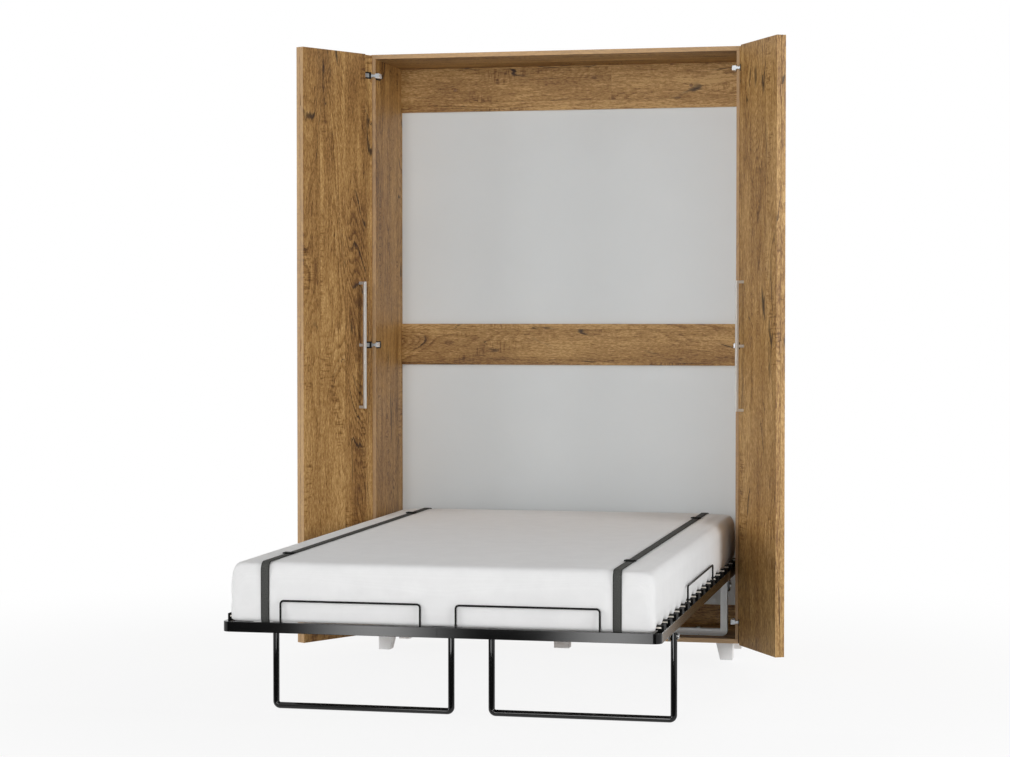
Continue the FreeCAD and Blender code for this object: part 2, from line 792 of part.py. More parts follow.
def side_bow(side):
    """A wire loop on the side of the frame."""
    middle = sided(side, "bed_half_width - rail_width / 2")
    top = "bow_top - wire_radius"
    low_turn = f"{top} - bow_corner"
    foot_turn = ahead("side_bow_far - bow_corner")
    head_turn = ahead("side_bow_near + bow_corner")
    return fuse(
        rod("wire_radius", "z", middle, ahead("side_bow_far"), (RAIL_TOP, low_turn)),
        rod("wire_radius", "z", middle, ahead("side_bow_near"), (RAIL_TOP, low_turn)),
        rod("wire_radius", "y", middle, top, (foot_turn, head_turn)),
        bend("bow_corner", "wire_radius", "-y", "+z", (middle, foot_turn, low_turn)),
        bend("bow_corner", "wire_radius", "+y", "+z", (middle, head_turn, low_turn)),
    )


def make_bows():
    part("foot_bows", group([foot_bow(side) for side, _ in SIDES]))
    part("side_bows", group([side_bow(side) for side, _ in SIDES]))


# Mattress and straps


def rounded_rectangle(half_width, foot_y, head_y, radius, level):
    """A closed outline of four lines and four quarter arcs."""
    edges = []
    corners = ((half_width, foot_y, -1, 1), (half_width, head_y, -1, -1),
               (-half_width, head_y, 1, -1), (-half_width, foot_y, 1, 1))
    first_angle = -90
    arcs = []
    for index, (x, y, step_x, step_y) in enumerate(corners):
        centre = FreeCAD.Vector(x + step_x * radius, y + step_y * radius, level)
        angles = [math.radians(first_angle + 90 * index + turn) for turn in (0, 45, 90)]
        arcs.append([centre + FreeCAD.Vector(math.cos(a), math.sin(a), 0) * radius for a in angles])
    for index, points in enumerate(arcs):
        edges.append(Part.Arc(*points).toShape())
        following = arcs[(index + 1) % len(arcs)]
        edges.append(Part.LineSegment(points[2], following[0]).toShape())
    return Part.Wire(edges)


def make_mattress():
    """A loft of outlines: crisp corners below that grow rounder upwards, a rounded upper edge and a
    low crown. At the foot a lip hangs past the first slat, down to the rail."""
    size = sheet.get
    front = (size("bed_reach") - size("case_depth")) / 2
    low = size("mattress_low")
    thick = size("mattress_top") - low
    # Each row: share of the thickness, how far the outline is drawn in, change of the corner radius.
    rows = (
        (0.00, 1, 0), (0.03, 0, 0), (0.30, 0, 2), (0.55, 1, 10), (0.70, 2, 22), (0.78, 3.5, 34),
        (0.84, 6, 54), (0.88, 9, 70), (0.915, 13, 80), (0.95, 20, 84), (0.975, 28, 86), (0.99, 42, 88),
        (1.00, 280, 90),
    )
    wires = []
    for share, inset, rounder in rows:
        wires.append(rounded_rectangle(
            size("mattress_half_width") - inset,
            front - size("mattress_foot") + inset,
            front + size("mattress_head") - inset,
            size("mattress_corner") + rounder,
            low + share * thick,
        ))
    pad = doc.addObject("Part::Feature", "MattressPad")
    pad.Shape = Part.makeLoft(wires, True, True)
    lip = block(
        ("-(mattress_half_width - lip_inset)", "mattress_half_width - lip_inset"),
        (ahead("mattress_foot - lip_inset"), ahead("mattress_foot - lip_depth")),
        ("lip_low", "mattress_low + lip_overlap"),
    )
    part("mattress", fuse(pad, lip))


def strap(side):
    """Webbing from the foot rail over the mattress to the head rail."""
    width = about(sided(side, "strap_offset"), "strap_width")
    foot_inner = ahead("mattress_foot + strap_clear")
    foot_outer = ahead("mattress_foot + strap_clear + strap_thick")
    head_inner = behind("mattress_head + strap_clear")
    head_outer = behind("mattress_head + strap_clear + strap_thick")
    under = "mattress_top + strap_clear"
    turn = f"{under} - strap_bend"
    foot_turn = f"{foot_inner} + strap_bend"
    head_turn = f"{head_inner} - strap_bend"
    outer = "strap_bend + strap_thick"
    return fuse(
        block(width, (foot_outer, foot_inner), (RAIL_TOP, turn)),
        elbow(outer, "strap_bend", "strap_width", "+z", "-y", (width[0], foot_turn, turn)),
        block(width, (foot_turn, head_turn), (under, f"{under} + strap_thick")),
        elbow(outer, "strap_bend", "strap_width", "+y", "+z", (width[0], head_turn, turn)),
        block(width, (head_inner, head_outer), (RAIL_TOP, turn)),
    )


def buckle(side, reach):
    """A flat slider with two slots."""
    under = "mattress_top + strap_clear + strap_thick"
    tall = (under, f"{under} + buckle_thick")
    middle_x = sided(side, "strap_offset")
    plate = block(about(middle_x, "buckle_width"), about(ahead(reach), "buckle_length"), tall)
    slots = []
    for way in (-1, 1):
        slot_y = f"{ahead(reach)} + {way} * buckle_slot"
        slots.append(block(about(middle_x, "strap_width"), about(slot_y, "buckle_slot"), tall))
    return cut(plate, *slots)


def make_straps():
    part("straps", group([strap(side) for side, _ in SIDES]))
    buckles = [buckle(side, reach) for side, _ in SIDES for reach in ("buckle_foot", "buckle_head")]
    part("strap_buckles", group(buckles))


# Legs


def make_leg(side, name):
    """A round tube bent into a U, with a cross hole at the top of each post."""
    outer = "leg_outer - leg_radius"
    inner = "leg_inner + leg_radius"
    middle = ahead("leg_reach")
    turn = "leg_radius + leg_bend"
    outward, inward = ("+x", "-x") if side > 0 else ("-x", "+x")
    outer_turn = f"{outer} - leg_bend"
    inner_turn = f"{inner} + leg_bend"
    post = (turn, "leg_axis_height + leg_top_above")
    solid = fuse(
        rod("leg_radius", "z", sided(side, outer), middle, post),
        rod("leg_radius", "z", sided(side, inner), middle, post),
        rod("leg_radius", "x", middle, "leg_radius", flip(side, inner_turn, outer_turn)),
        bend("leg_bend", "leg_radius", outward, "-z", (sided(side, outer_turn), middle, turn)),
        bend("leg_bend", "leg_radius", inward, "-z", (sided(side, inner_turn), middle, turn)),
    )
    bore = rod("leg_bolt_radius + running_gap", "x", middle, "leg_axis_height",
               flip(side, "leg_inner", "leg_outer"))
    part(f"{name}_leg", cut(solid, bore))


def make_leg_fittings():
    """Plates welded under the cross tubes beside each post, and the bolts that the legs turn on."""
    plates, bolts = [], []
    tall = ("leg_axis_height - leg_plate_drop", "rail_low")
    centre = (ahead("leg_reach"), "leg_axis_height")
    outer_face = "leg_outer - 2 * leg_radius - leg_plate_gap"
    inner_face = "leg_inner + 2 * leg_radius + leg_plate_gap"
    outer = (f"{outer_face} - leg_plate", outer_face, f"{outer_face} - leg_plate", "leg_outer + side_gap")
    inner = (inner_face, f"{inner_face} + leg_plate", "leg_inner - side_gap", f"{inner_face} + leg_plate")
    for side, _ in SIDES:
        for plate_low, plate_high, bolt_low, bolt_high in (outer, inner):
            plate = block(flip(side, plate_low, plate_high), about(centre[0], "leg_plate_width"), tall)
            hole = rod("leg_bolt_radius", "x", *centre, flip(side, plate_low, plate_high))
            plates.append(cut(plate, hole))
            ends = (
                flip(side, f"{bolt_low} - leg_bolt_head_length", bolt_low),
                flip(side, bolt_high, f"{bolt_high} + leg_bolt_head_length"),
            )
            shank = rod("leg_bolt_radius", "x", *centre, flip(side, bolt_low, bolt_high))
            bolts.append(fuse(shank, *[rod("leg_bolt_head", "x", *centre, end) for end in ends]))
    part("leg_brackets", group(plates))
    part("leg_bolts", group(bolts))


# Gas struts. Each is made along Y from its lower pin, then turned to point at its end on the bed.


STRUT_DY = f"({PIVOT_BACK} - strut_bed_reach - strut_base_back)"
STRUT_DZ = "(pivot_height + strut_bed_rise - strut_base_height)"
STRUT_LENGTH = f"sqrt({STRUT_DY} ^ 2 + {STRUT_DZ} ^ 2)"


def on_strut(solid):
    solid.Placement.Rotation = FreeCAD.Rotation(AXES["+x"], 1)
    solid.setExpression("Placement.Rotation.Angle", bound(f"atan2({STRUT_DZ}; {STRUT_DY})"))
    place(solid, "0", behind("strut_base_back"), "strut_base_height")
    return solid


def make_strut(side, name):
    middle = sided(side, "strut_side")
    eye_span = about(middle, "strut_eye_width")
    tip_span = about(middle, "strut_tip_width")
    body = fuse(
        rod("strut_eye_radius", "x", "0", "0", eye_span),
        rod("strut_radius", "y", middle, "0", ("strut_eye_radius", "strut_body")),
        block(tip_span, ("0", "strut_eye_radius + strut_neck"), about("0", "strut_eye_radius")),
    )
    pin_hole = rod("strut_pin_radius + running_gap", "x", "0", "0", eye_span)
    bore = rod("strut_rod_radius + running_gap", "y", middle, "0", ("strut_bore_start", "strut_body"))
    part(f"{name}_strut_cylinder", on_strut(cut(body, pin_hole, bore)))
    rod_solid = fuse(
        rod("strut_rod_radius", "y", middle, "0", ("strut_rod_start", STRUT_LENGTH)),
        rod("strut_tip_radius", "x", STRUT_LENGTH, "0", tip_span),
    )
    eye_hole = rod("strut_pin_radius", "x", STRUT_LENGTH, "0", tip_span)
    part(f"{name}_strut_rod", on_strut(cut(rod_solid, eye_hole)))


def make_strut_fittings():
    """Plates and pins on the stand, and plates with a stub under the bed's cross tubes."""
    base_plates, pins, bed_plates = [], [], []
    base = (behind("strut_base_back"), "strut_base_height")
    bed_end = (behind(f"{PIVOT_BACK} - strut_bed_reach"), "pivot_height + strut_bed_rise")
    plate_low = "strut_side + strut_radius + strut_stub_gap"
    plate_high = f"{plate_low} + strut_plate"
    stub_low = "strut_side + strut_tip_width / 2 + strut_stub_gap"
    pin_low = "strut_side - strut_eye_width / 2 - strut_stub_gap"
    low_z = f"{FLOOR_TOP} + stand_tube"
    for side, _ in SIDES:
        span = flip(side, plate_low, plate_high)
        depth = (behind("stand_back + stand_tube - strut_plate_width"), behind("stand_back + stand_tube"))
        plate = block(span, depth, (low_z, "strut_base_height + strut_plate_above"))
        base_plates.append(cut(plate, rod("strut_pin_radius", "x", *base, span)))
        head_span = flip(side, f"{pin_low} - strut_pin_head_length", pin_low)
        shank = rod("strut_pin_radius", "x", *base, flip(side, pin_low, plate_high))
        pins.append(fuse(shank, rod("strut_pin_head", "x", *base, head_span)))
        tab_height = (f"{bed_end[1]} - strut_plate_above", "rail_low")
        tab = block(span, about(bed_end[0], "leg_plate_width"), tab_height)
        bed_plates.append(fuse(tab, rod("strut_pin_radius", "x", *bed_end, flip(side, stub_low, plate_low))))
    part("strut_base_brackets", group(base_plates))
    part("strut_base_pins", group(pins))
    part("strut_bed_brackets", group(bed_plates))


# Build, check and write


def check():
    """Stops unless every object is sound."""
    doc.recompute()
    for item in doc.Objects:
        if "Invalid" in item.State or "Error" in item.State:
            raise RuntimeError(f"{item.Label} failed: {item.State}")
    for solid in PARTS:
        if solid.Shape.isNull() or not solid.Shape.isValid() or not solid.Shape.Solids:
            raise RuntimeError(f"{solid.Label} has no sound shape")


def write():
    os.makedirs("parts", exist_ok=True)
    for solid in PARTS:
        solid.Shape.exportStep(f"parts/{solid.Label}.step")


fill_sheet()
make_boards()
make_back()
make_feet()
make_case_screws()
make_stand()
make_stand_screws()
make_pivots()
make_hinge_arms()
for door_side, door_name in SIDES:
    make_hinge_leaves(door_side, door_name)
    make_leaves(door_side, door_name)
    make_fold_hinges(door_side, door_name)
    make_handle(door_side, door_name)
make_frame()
make_frame_bolts()
make_slats()
make_bows()
make_mattress()
make_straps()
for leg_side, leg_name in SIDES:
    make_leg(leg_side, leg_name)
    make_strut(leg_side, leg_name)
make_leg_fittings()
make_strut_fittings()
check()
write()
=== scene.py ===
"""The looks of the wall bed: finishes, a soft mattress, webbing straps, small fittings and a plain studio.

Metres, +X right, +Y to the wall, +Z up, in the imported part's own frame.
"""

import json
import math

import bmesh
import bpy
from mathutils import Matrix, Vector

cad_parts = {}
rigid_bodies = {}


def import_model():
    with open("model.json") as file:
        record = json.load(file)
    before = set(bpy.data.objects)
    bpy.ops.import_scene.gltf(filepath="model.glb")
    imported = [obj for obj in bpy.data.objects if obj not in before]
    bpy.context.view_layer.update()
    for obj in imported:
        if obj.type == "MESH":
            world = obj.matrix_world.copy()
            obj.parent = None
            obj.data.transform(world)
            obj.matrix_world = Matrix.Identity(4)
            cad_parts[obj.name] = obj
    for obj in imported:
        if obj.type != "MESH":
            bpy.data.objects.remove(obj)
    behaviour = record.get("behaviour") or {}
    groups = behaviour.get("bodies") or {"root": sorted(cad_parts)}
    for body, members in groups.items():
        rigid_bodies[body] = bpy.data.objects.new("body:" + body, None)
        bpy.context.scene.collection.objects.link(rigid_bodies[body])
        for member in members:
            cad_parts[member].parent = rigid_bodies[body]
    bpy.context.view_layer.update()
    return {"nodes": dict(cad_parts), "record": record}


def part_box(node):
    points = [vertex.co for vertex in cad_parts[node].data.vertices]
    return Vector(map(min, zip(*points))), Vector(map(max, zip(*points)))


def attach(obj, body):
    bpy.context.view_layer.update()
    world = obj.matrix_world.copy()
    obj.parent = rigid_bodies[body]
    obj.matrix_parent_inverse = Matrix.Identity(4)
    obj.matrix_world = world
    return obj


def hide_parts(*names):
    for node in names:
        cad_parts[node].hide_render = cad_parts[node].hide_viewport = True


for leftover in list(bpy.data.objects):
    bpy.data.objects.remove(leftover)

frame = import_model()
NODES = frame["nodes"]
BODY_OF = {node: body for body, nodes in frame["record"]["behaviour"]["bodies"].items() for node in nodes}
SLOT_OF = {row["node"]: row["material_slot"] for row in frame["record"]["subparts"]}
SIDES = ((-1, "left"), (1, "right"))
MM = 0.001

# Camera
CAMERA_PLACE = (1.5984, -7.5503, 1.224)
CAMERA_YAW = 0.2124
CAMERA_PITCH = 0.0267
CAMERA_LENS = 82.83
SENSOR_WIDTH = 36.0

# Doors and their hinges
DOOR_LEAN = math.radians(29.5)
HINGE_X = 0.676
HINGE_Y = 0.675
HINGE_HEIGHTS = (0.137, 1.120, 2.103)
HINGE_ARMS = (15 * MM, 7 * MM, 15 * MM)

# Small hinge parts, corners from the arm's inner face or the wall, the cabinet's front and the hinge's height
COVER_LOW = Vector((-0.4, -7, -8.5)) * MM
COVER_HIGH = Vector((-1, 30, 8.5)) * MM
COVER_ROUND = 1.5 * MM
# Dark arm ends and dark mounting plates: painted shadow round each arm, the plates being real plates as well
ARM_END_LOW = Vector((-0.3, 30, -8)) * MM
ARM_END_HIGH = Vector((-1, 46, 8)) * MM
MOUNT_LOW = Vector((-2.5, 3, -13)) * MM
MOUNT_HIGH = Vector((0, 62, 13)) * MM
MOUNT_ROUND = 0.6 * MM
# Dark rims round the doors' hinge plates, in the door's own axes: painted shadow round each plate
SHADE_RIM_LOW = Vector((4, 3.5, -12.5)) * MM
SHADE_RIM_HIGH = Vector((50, 4.6, 12.5)) * MM

# Boards, stand and the caps over the wall screws in the top rail
BOARD_EDGE = 0.7 * MM
STAND_BEND = 18 * MM
WALL_SCREW_X = 0.45
WALL_SCREW_Z = 2.082
SCREW_CAP_RADIUS = 6.5 * MM
SCREW_CAP_HEIGHT = 2 * MM

# Slats and the plastic caps on their ends
SLAT_PITCH = 126 * MM
SLAT_WIDTH = 53 * MM
CAP_DEPTH = 18 * MM
POCKET_LENGTH = 56 * MM
CLIP_LENGTH = 47 * MM
CAP_WALL = 0.7 * MM

# Straps, their buckles and the loops round the buckles
STRAP_X = 523 * MM
STRAP_WIDTH = 26 * MM
STRAP_THICK = 2.0 * MM
STRAP_LIFT = 0.4 * MM
STRAP_BEND = 24 * MM
STRAP_RISE = 10 * MM
STRAP_END = 2 * MM
STRAP_LEAN = 1.5 * MM
STRAP_FOOT_GAP = 1 * MM
STRAP_HEAD_GAP = 0.3 * MM
STRAP_STEPS = 24
RAIL_WIDTH = 20 * MM
BUCKLE_ROUND = 1.1 * MM
BUCKLE_DROP = 2 * MM
BUCKLE_HALF = 10 * MM
LOOP_RADIUS = 4 * MM
LOOP_DROP = 1.5 * MM
LOOP_WIDTH = 25 * MM
LOOP_THICK = 1.4 * MM


# Shader nodes


class Shader:
    """A material and short calls that add nodes to it."""

    def __init__(self, name, **settings):
        self.material = bpy.data.materials.new(name)
        self.material.use_nodes = True
        self.tree = self.material.node_tree
        self.surface = self.tree.nodes["Principled BSDF"]
        for socket, value in settings.items():
            self.surface.inputs[socket.replace("_", " ").title().replace("Ior", "IOR")].default_value = value
        self.coordinates = self.node("ShaderNodeTexCoord")

    def node(self, kind, links=None, values=None, **settings):
        made = self.tree.nodes.new(kind)
        for key, value in settings.items():
            setattr(made, key, value)
        for key, value in (values or {}).items():
            made.inputs[key].default_value = value
        for key, socket in (links or {}).items():
            self.tree.links.new(socket, made.inputs[key])
        return made

    def feed(self, socket, value):
        """Gives a socket a number, a colour or another node's output."""
        if isinstance(value, (int, float)):
            socket.default_value = value
        elif isinstance(value, tuple):
            socket.default_value = (*value, 1)
        else:
            self.tree.links.new(value, socket)

    def set(self, socket, source):
        self.tree.links.new(source, self.surface.inputs[socket])

    def math(self, operation, *values):
        made = self.node("ShaderNodeMath", operation=operation)
        for index, value in enumerate(values):
            self.feed(made.inputs[index], value)
        return made.outputs[0]

    def times(self, value, factor):
        return self.math("MULTIPLY", value, factor)

    def far_from(self, value, middle):
        return self.math("ABSOLUTE", self.math("SUBTRACT", value, middle))

    def add_up(self, start, parts):
        """A start level plus (value - middle) times weight, for each part."""
        level = start
        for value, middle, weight in parts:
            level = self.math("MULTIPLY_ADD", self.math("SUBTRACT", value, middle), weight, level)
        return level

    def scaled(self, vector, scale, shift=(0, 0, 0)):
        values = {"Scale": scale, "Location": shift}
        return self.node("ShaderNodeMapping", {"Vector": vector}, values).outputs[0]

    def moved(self, vector, offset):
        return self.node("ShaderNodeVectorMath", {0: vector, 1: offset}, operation="ADD").outputs[0]

    def noise(self, vector, scale=1.0, detail=2.0, roughness=0.5, distortion=0.0):
        values = {"Scale": scale, "Detail": detail, "Roughness": roughness, "Distortion": distortion}
        return self.node("ShaderNodeTexNoise", {"Vector": vector}, values).outputs["Fac"]

    def remap(self, value, low, high, new_low=0.0, new_high=1.0, smooth=False):
        values = {"From Min": low, "From Max": high, "To Min": new_low, "To Max": new_high}
        kind = "SMOOTHSTEP" if smooth else "LINEAR"
        made = self.node("ShaderNodeMapRange", {"Value": value}, values, interpolation_type=kind)
        return made.outputs[0]

    def ramp(self, value, stops):
        made = self.node("ShaderNodeValToRGB", {"Fac": value})
        elements = made.color_ramp.elements
        while len(elements) < len(stops):
            elements.new(0.5)
        for element, (place, colour) in zip(elements, stops):
            element.position = place
            element.color = (*colour, 1)
        return made.outputs[0]

    def mix(self, factor, first, second):
        made = self.node("ShaderNodeMix", data_type="RGBA")
        for index, value in ((0, factor), (6, first), (7, second)):
            self.feed(made.inputs[index], value)
        return made.outputs[2]

    def bump(self, height, distance, strength=1.0):
        values = {"Distance": distance, "Strength": strength}
        made = self.node("ShaderNodeBump", {"Height": height}, values)
        self.set("Normal", made.outputs[0])


def srgb(red, green, blue):
    """A colour given as three numbers from 0 to 255, made linear."""
    def linear(level):
        level /= 255
        return level / 12.92 if level <= 0.04045 else ((level + 0.055) / 1.055) ** 2.4
    return tuple(linear(level) for level in (red, green, blue))


# Oak

GRAIN_AXES = {"upright": "ZYX", "rail": "XZY", "shelf": "XYZ"}
OAK_TONES = (
    (0.05, srgb(80, 50, 20)), (0.32, srgb(118, 81, 39)), (0.55, srgb(150, 111, 61)),
    (0.78, srgb(174, 135, 80)), (0.95, srgb(198, 160, 104)),
)
OAK_LEVEL = 0.56
OAK_CRACK = srgb(38, 20, 7)
OAK_EDGE = srgb(204, 170, 130)
STAVE_WIDTH = 124 * MM
STAVE_LENGTH = 7.0
STAVE_JOINT = 0.4 * MM
RING_COUNT = 42.0


def board_axes(shader, grain, turn):
    """Coordinates along the grain, across it and through the board, and how far a face is a broad one."""
    turned = []
    for output in ("Object", "Normal"):
        links = {"Vector": shader.coordinates.outputs[output]}
        rotated = shader.node("ShaderNodeVectorRotate", links, {"Angle": turn}, rotation_type="Z_AXIS")
        parts = shader.node("ShaderNodeSeparateXYZ", {"Vector": rotated.outputs[0]}).outputs
        turned.append([parts[axis] for axis in GRAIN_AXES[grain]])
    place = shader.node("ShaderNodeCombineXYZ", dict(zip("XYZ", turned[0]))).outputs[0]
    facing = shader.math("ABSOLUTE", turned[1][2])
    return place, facing


def staves(shader, place, seed):
    """Splits a board into staves: shifted coordinates, a tone from 0 to 1 and the joint lines."""
    bricks = shader.node(
        "ShaderNodeTexBrick",
        {"Vector": shader.scaled(place, (1, 1, 0), (seed * 1.37, seed * 0.61, 0))},
        {"Color1": (0, 0, 0, 1), "Color2": (1, 1, 1, 1), "Mortar": (0.5, 0.5, 0.5, 1), "Scale": 1.0,
         "Mortar Size": STAVE_JOINT, "Mortar Smooth": 0.3, "Brick Width": STAVE_LENGTH,
         "Row Height": STAVE_WIDTH},
        offset=0.41,
    )
    tone = shader.node("ShaderNodeSeparateColor", {"Color": bricks.outputs["Color"]}).outputs[0]
    jump = shader.scaled(bricks.outputs["Color"], (9.0, 2.1, 1.7), (seed * 5.3, seed * 1.7, seed * 0.9))
    wood = shader.moved(place, jump)
    sway = shader.noise(shader.scaled(wood, (1.6, 5.0, 5.0)), detail=1.0)
    bend = shader.node("ShaderNodeCombineXYZ", {"Y": shader.times(sway, 0.035)}).outputs[0]
    return shader.moved(wood, bend), tone, bricks.outputs["Fac"]


def oak_cracks(shader, wood, rings):
    """Splits along the growth rings that swell and close again, only in some patches, and the patches."""
    line = shader.far_from(shader.math("FRACT", shader.times(rings, 0.3)), 0.5)
    width = shader.remap(shader.noise(shader.scaled(wood, (7, 34, 34))), 0.40, 0.64, 0.008, 0.085)
    thin = shader.remap(shader.math("DIVIDE", line, width), 0.4, 1.0, 1.0, 0.0)
    patch = shader.noise(shader.scaled(wood, (2.0, 8, 8), (3.1, 0.7, 0)), detail=2.0)
    patch = shader.remap(patch, 0.49, 0.57, smooth=True)
    return shader.times(thin, patch), patch


def oak_flakes(shader, wood):
    """Short marks across the grain, in a few patches."""
    marks = shader.noise(shader.scaled(wood, (120, 22, 22)), detail=1.0, distortion=0.5)
    marks = shader.remap(marks, 0.50, 0.66)
    patch = shader.noise(shader.scaled(wood, (3.0, 12, 12), (7.7, 2.3, 0)), detail=1.0)
    return shader.times(marks, shader.remap(patch, 0.58, 0.68, smooth=True))


def oak_fibres(shader, wood):
    """What runs along the grain: broad clouds, long bands, fibres, pores and short dark dashes."""
    broad = shader.noise(shader.scaled(wood, (2.2, 8.0, 8.0)), detail=4.0, roughness=0.6)
    band = shader.noise(shader.scaled(wood, (0.6, 26, 26)), detail=3.0, roughness=0.65)
    fibre = shader.noise(shader.scaled(wood, (11, 140, 140)), detail=3.0, roughness=0.7)
    pores = shader.noise(shader.scaled(wood, (75, 230, 230)), detail=2.0, roughness=0.65)
    dashes = shader.noise(shader.scaled(wood, (34, 260, 260), (1.3, 0.4, 0)), detail=1.5)
    return broad, band, fibre, pores, shader.remap(dashes, 0.57, 0.66)


def oak_rings(shader, wood, fibre):
    """Growth rings counted across the board, those rings swirled round the knots, and the knots."""
    cells = {"Vector": shader.scaled(wood, (1.1, 4.6, 4.6))}
    knots = shader.node("ShaderNodeTexVoronoi", cells, {"Scale": 1.0, "Randomness": 1.0})
    knot_far = knots.outputs["Distance"]
    knot = shader.remap(knot_far, 0.015, 0.06, 1.0, 0.0, smooth=True)
    swirl = shader.remap(knot_far, 0.0, 0.42, 0.24, 0.0, smooth=True)
    figure = shader.noise(shader.scaled(wood, (0.8, 5.0, 5.0)), detail=2.0, roughness=0.45, distortion=0.4)
    straight = shader.math("MULTIPLY_ADD", figure, RING_COUNT, shader.times(fibre, 0.9))
    return straight, shader.math("MULTIPLY_ADD", swirl, RING_COUNT, straight), knot


def oak_ring_shade(shader, wood, rings):
    """The dark side of each ring, strong in some arches and faint elsewhere."""
    arches = shader.noise(shader.scaled(wood, (1.2, 6, 6), (0.3, 5.1, 0)))
    arches = shader.remap(arches, 0.44, 0.60, 0.2, 1.0)
    return shader.times(shader.remap(shader.math("FRACT", rings), 0.35, 0.97, smooth=True), arches)


def oak(name, grain, turn, seed, painted_light, pale_edge_and_light):
    """Rustic oak: staves of differing tone, arched growth rings, flakes, knots, cracks and fine pores, with
    the board's tone and cut edges lifted by painted light where a board asks for it.
    """
    shader = Shader(name, specular_ior_level=0.3)
    place, facing = board_axes(shader, grain, turn)
    wood, stave, joint = staves(shader, place, seed)
    broad, band, fibre, pores, dashes = oak_fibres(shader, wood)
    straight, rings, knot = oak_rings(shader, wood, fibre)
    ring = oak_ring_shade(shader, wood, rings)
    crack, rough_patch = oak_cracks(shader, wood, straight)
    # The whole board's tone is lifted here by painted light, for how brightly the board is lit.
    level = shader.add_up(OAK_LEVEL + painted_light, (
        (broad, 0.5, 0.85), (band, 0.5, 0.65), (fibre, 0.5, 0.80), (pores, 0.5, 1.10), (stave, 0.5, 0.12),
        (ring, 0.25, -0.30), (dashes, 0.1, -0.22), (oak_flakes(shader, wood), 0.0, -0.30),
        (rough_patch, 0.1, -0.06),
    ))
    colour = shader.ramp(level, OAK_TONES)
    for mark, strength in ((crack, 0.9), (knot, 0.7), (joint, 0.3)):
        colour = shader.mix(shader.times(mark, strength), colour, OAK_CRACK)
    # Paler cut edges; on the bottom panel the full paleness also paints light on its shaded front edge.
    edge = shader.mix(pale_edge_and_light, colour, OAK_EDGE)
    shader.set("Base Color", shader.mix(shader.remap(facing, 0.5, 0.8), edge, colour))
    shader.set("Roughness", shader.remap(fibre, 0.2, 0.8, 0.42, 0.56))
    height = shader.add_up(fibre, ((ring, 0.0, -0.25), (dashes, 0.0, -0.4), (crack, 0.0, -1.2)))
    shader.bump(height, 0.25 * MM, 0.5)
    return shader.material


# Other materials


def plain_wood(name):
    """Pale laminated slats, grain along X."""
    shader = Shader(name, roughness=0.42)
    place = shader.coordinates.outputs["Object"]
    fibre = shader.noise(shader.scaled(place, (9, 260, 260)), detail=3.0, roughness=0.6)
    tone = shader.noise(shader.scaled(place, (0.8, 9, 9)), detail=2.0)
    level = shader.math("MULTIPLY_ADD", fibre, 0.55, shader.times(tone, 0.45))
    shader.set("Base Color", shader.ramp(level, (
        (0.25, srgb(206, 196, 182)), (0.5, srgb(226, 219, 208)), (0.75, srgb(238, 233, 225)),
    )))
    shader.bump(fibre, 0.15 * MM, 0.5)
    return shader.material


def sheet_board(name):
    """Painted fibreboard: an even light grey with a faint roller texture."""
    shader = Shader(name)
    place = shader.coordinates.outputs["Object"]
    cloud = shader.noise(place, 2.2, 3.0)
    stipple = shader.noise(place, 420.0, 2.0)
    level = shader.math("MULTIPLY_ADD", stipple, 0.25, shader.times(cloud, 0.75))
    shader.set("Base Color", shader.ramp(level, ((0.3, srgb(229, 234, 236)), (0.7, srgb(235, 240, 242)))))
    shader.set("Roughness", shader.remap(stipple, 0.3, 0.7, 0.62, 0.75))
    shader.bump(stipple, 0.12 * MM, 0.5)
    return shader.material


def coated(name, low, high, roughness, peel=0.06 * MM, gloss=0.5):
    """Paint or moulded plastic: a slight change of tone, fine orange peel and uneven gloss."""
    shader = Shader(name, specular_ior_level=gloss)
    place = shader.coordinates.outputs["Object"]
    cloud = shader.noise(place, 9.0, 3.0)
    grain = shader.noise(place, 700.0, 2.0)
    shader.set("Base Color", shader.ramp(cloud, ((0.3, low), (0.7, high))))
    shader.set("Roughness", shader.remap(cloud, 0.25, 0.75, roughness * 0.85, roughness * 1.15))
    shader.bump(grain, peel, 0.6)
    return shader.material


def brushed(name, colour, roughness, stretch, metallic=1.0):
    """Metal with fine lines along one axis."""
    shader = Shader(name, metallic=metallic)
    place = shader.coordinates.outputs["Object"]
    lines = shader.noise(shader.scaled(place, stretch), 1.0, 2.0)
    light = tuple(min(1.0, level * 1.12) for level in colour)
    shader.set("Base Color", shader.ramp(lines, ((0.3, colour), (0.7, light))))
    shader.set("Roughness", shader.remap(lines, 0.2, 0.8, roughness * 0.8, roughness * 1.25))
    shader.bump(lines, 0.02 * MM, 0.5)
    return shader.material


def knit(name):
    """A white knitted cover: fine loops in rows, soft mottling and sheen."""
    shader = Shader(name, roughness=0.85, sheen_weight=0.2, sheen_roughness=0.5)
    place = shader.coordinates.outputs["Object"]
    weave = shader.noise(place, 900.0, 2.0)
    for axis in "XYZ":
        values = {"Scale": 190.0, "Distortion": 1.2, "Detail": 1.0, "Detail Scale": 2.0}
        wave = shader.node("ShaderNodeTexWave", {"Vector": place}, values, bands_direction=axis)
        weave = shader.math("ADD", weave, wave.outputs["Fac"])
    mottle = shader.noise(place, 14.0, 4.0, 0.6)
    level = shader.math("MULTIPLY_ADD", weave, 0.08, shader.times(mottle, 0.7))
    shader.set("Base Color", shader.ramp(level, ((0.3, srgb(228, 228, 228)), (0.75, srgb(236, 236, 236)))))
    shader.bump(weave, 0.25 * MM, 0.35)
    return shader.material


RIB_PITCH = 4 * MM
THREAD_PITCH = 1.6 * MM
BORDER_FAR = 3.5 * MM
BORDER_NEAR = 2.5 * MM


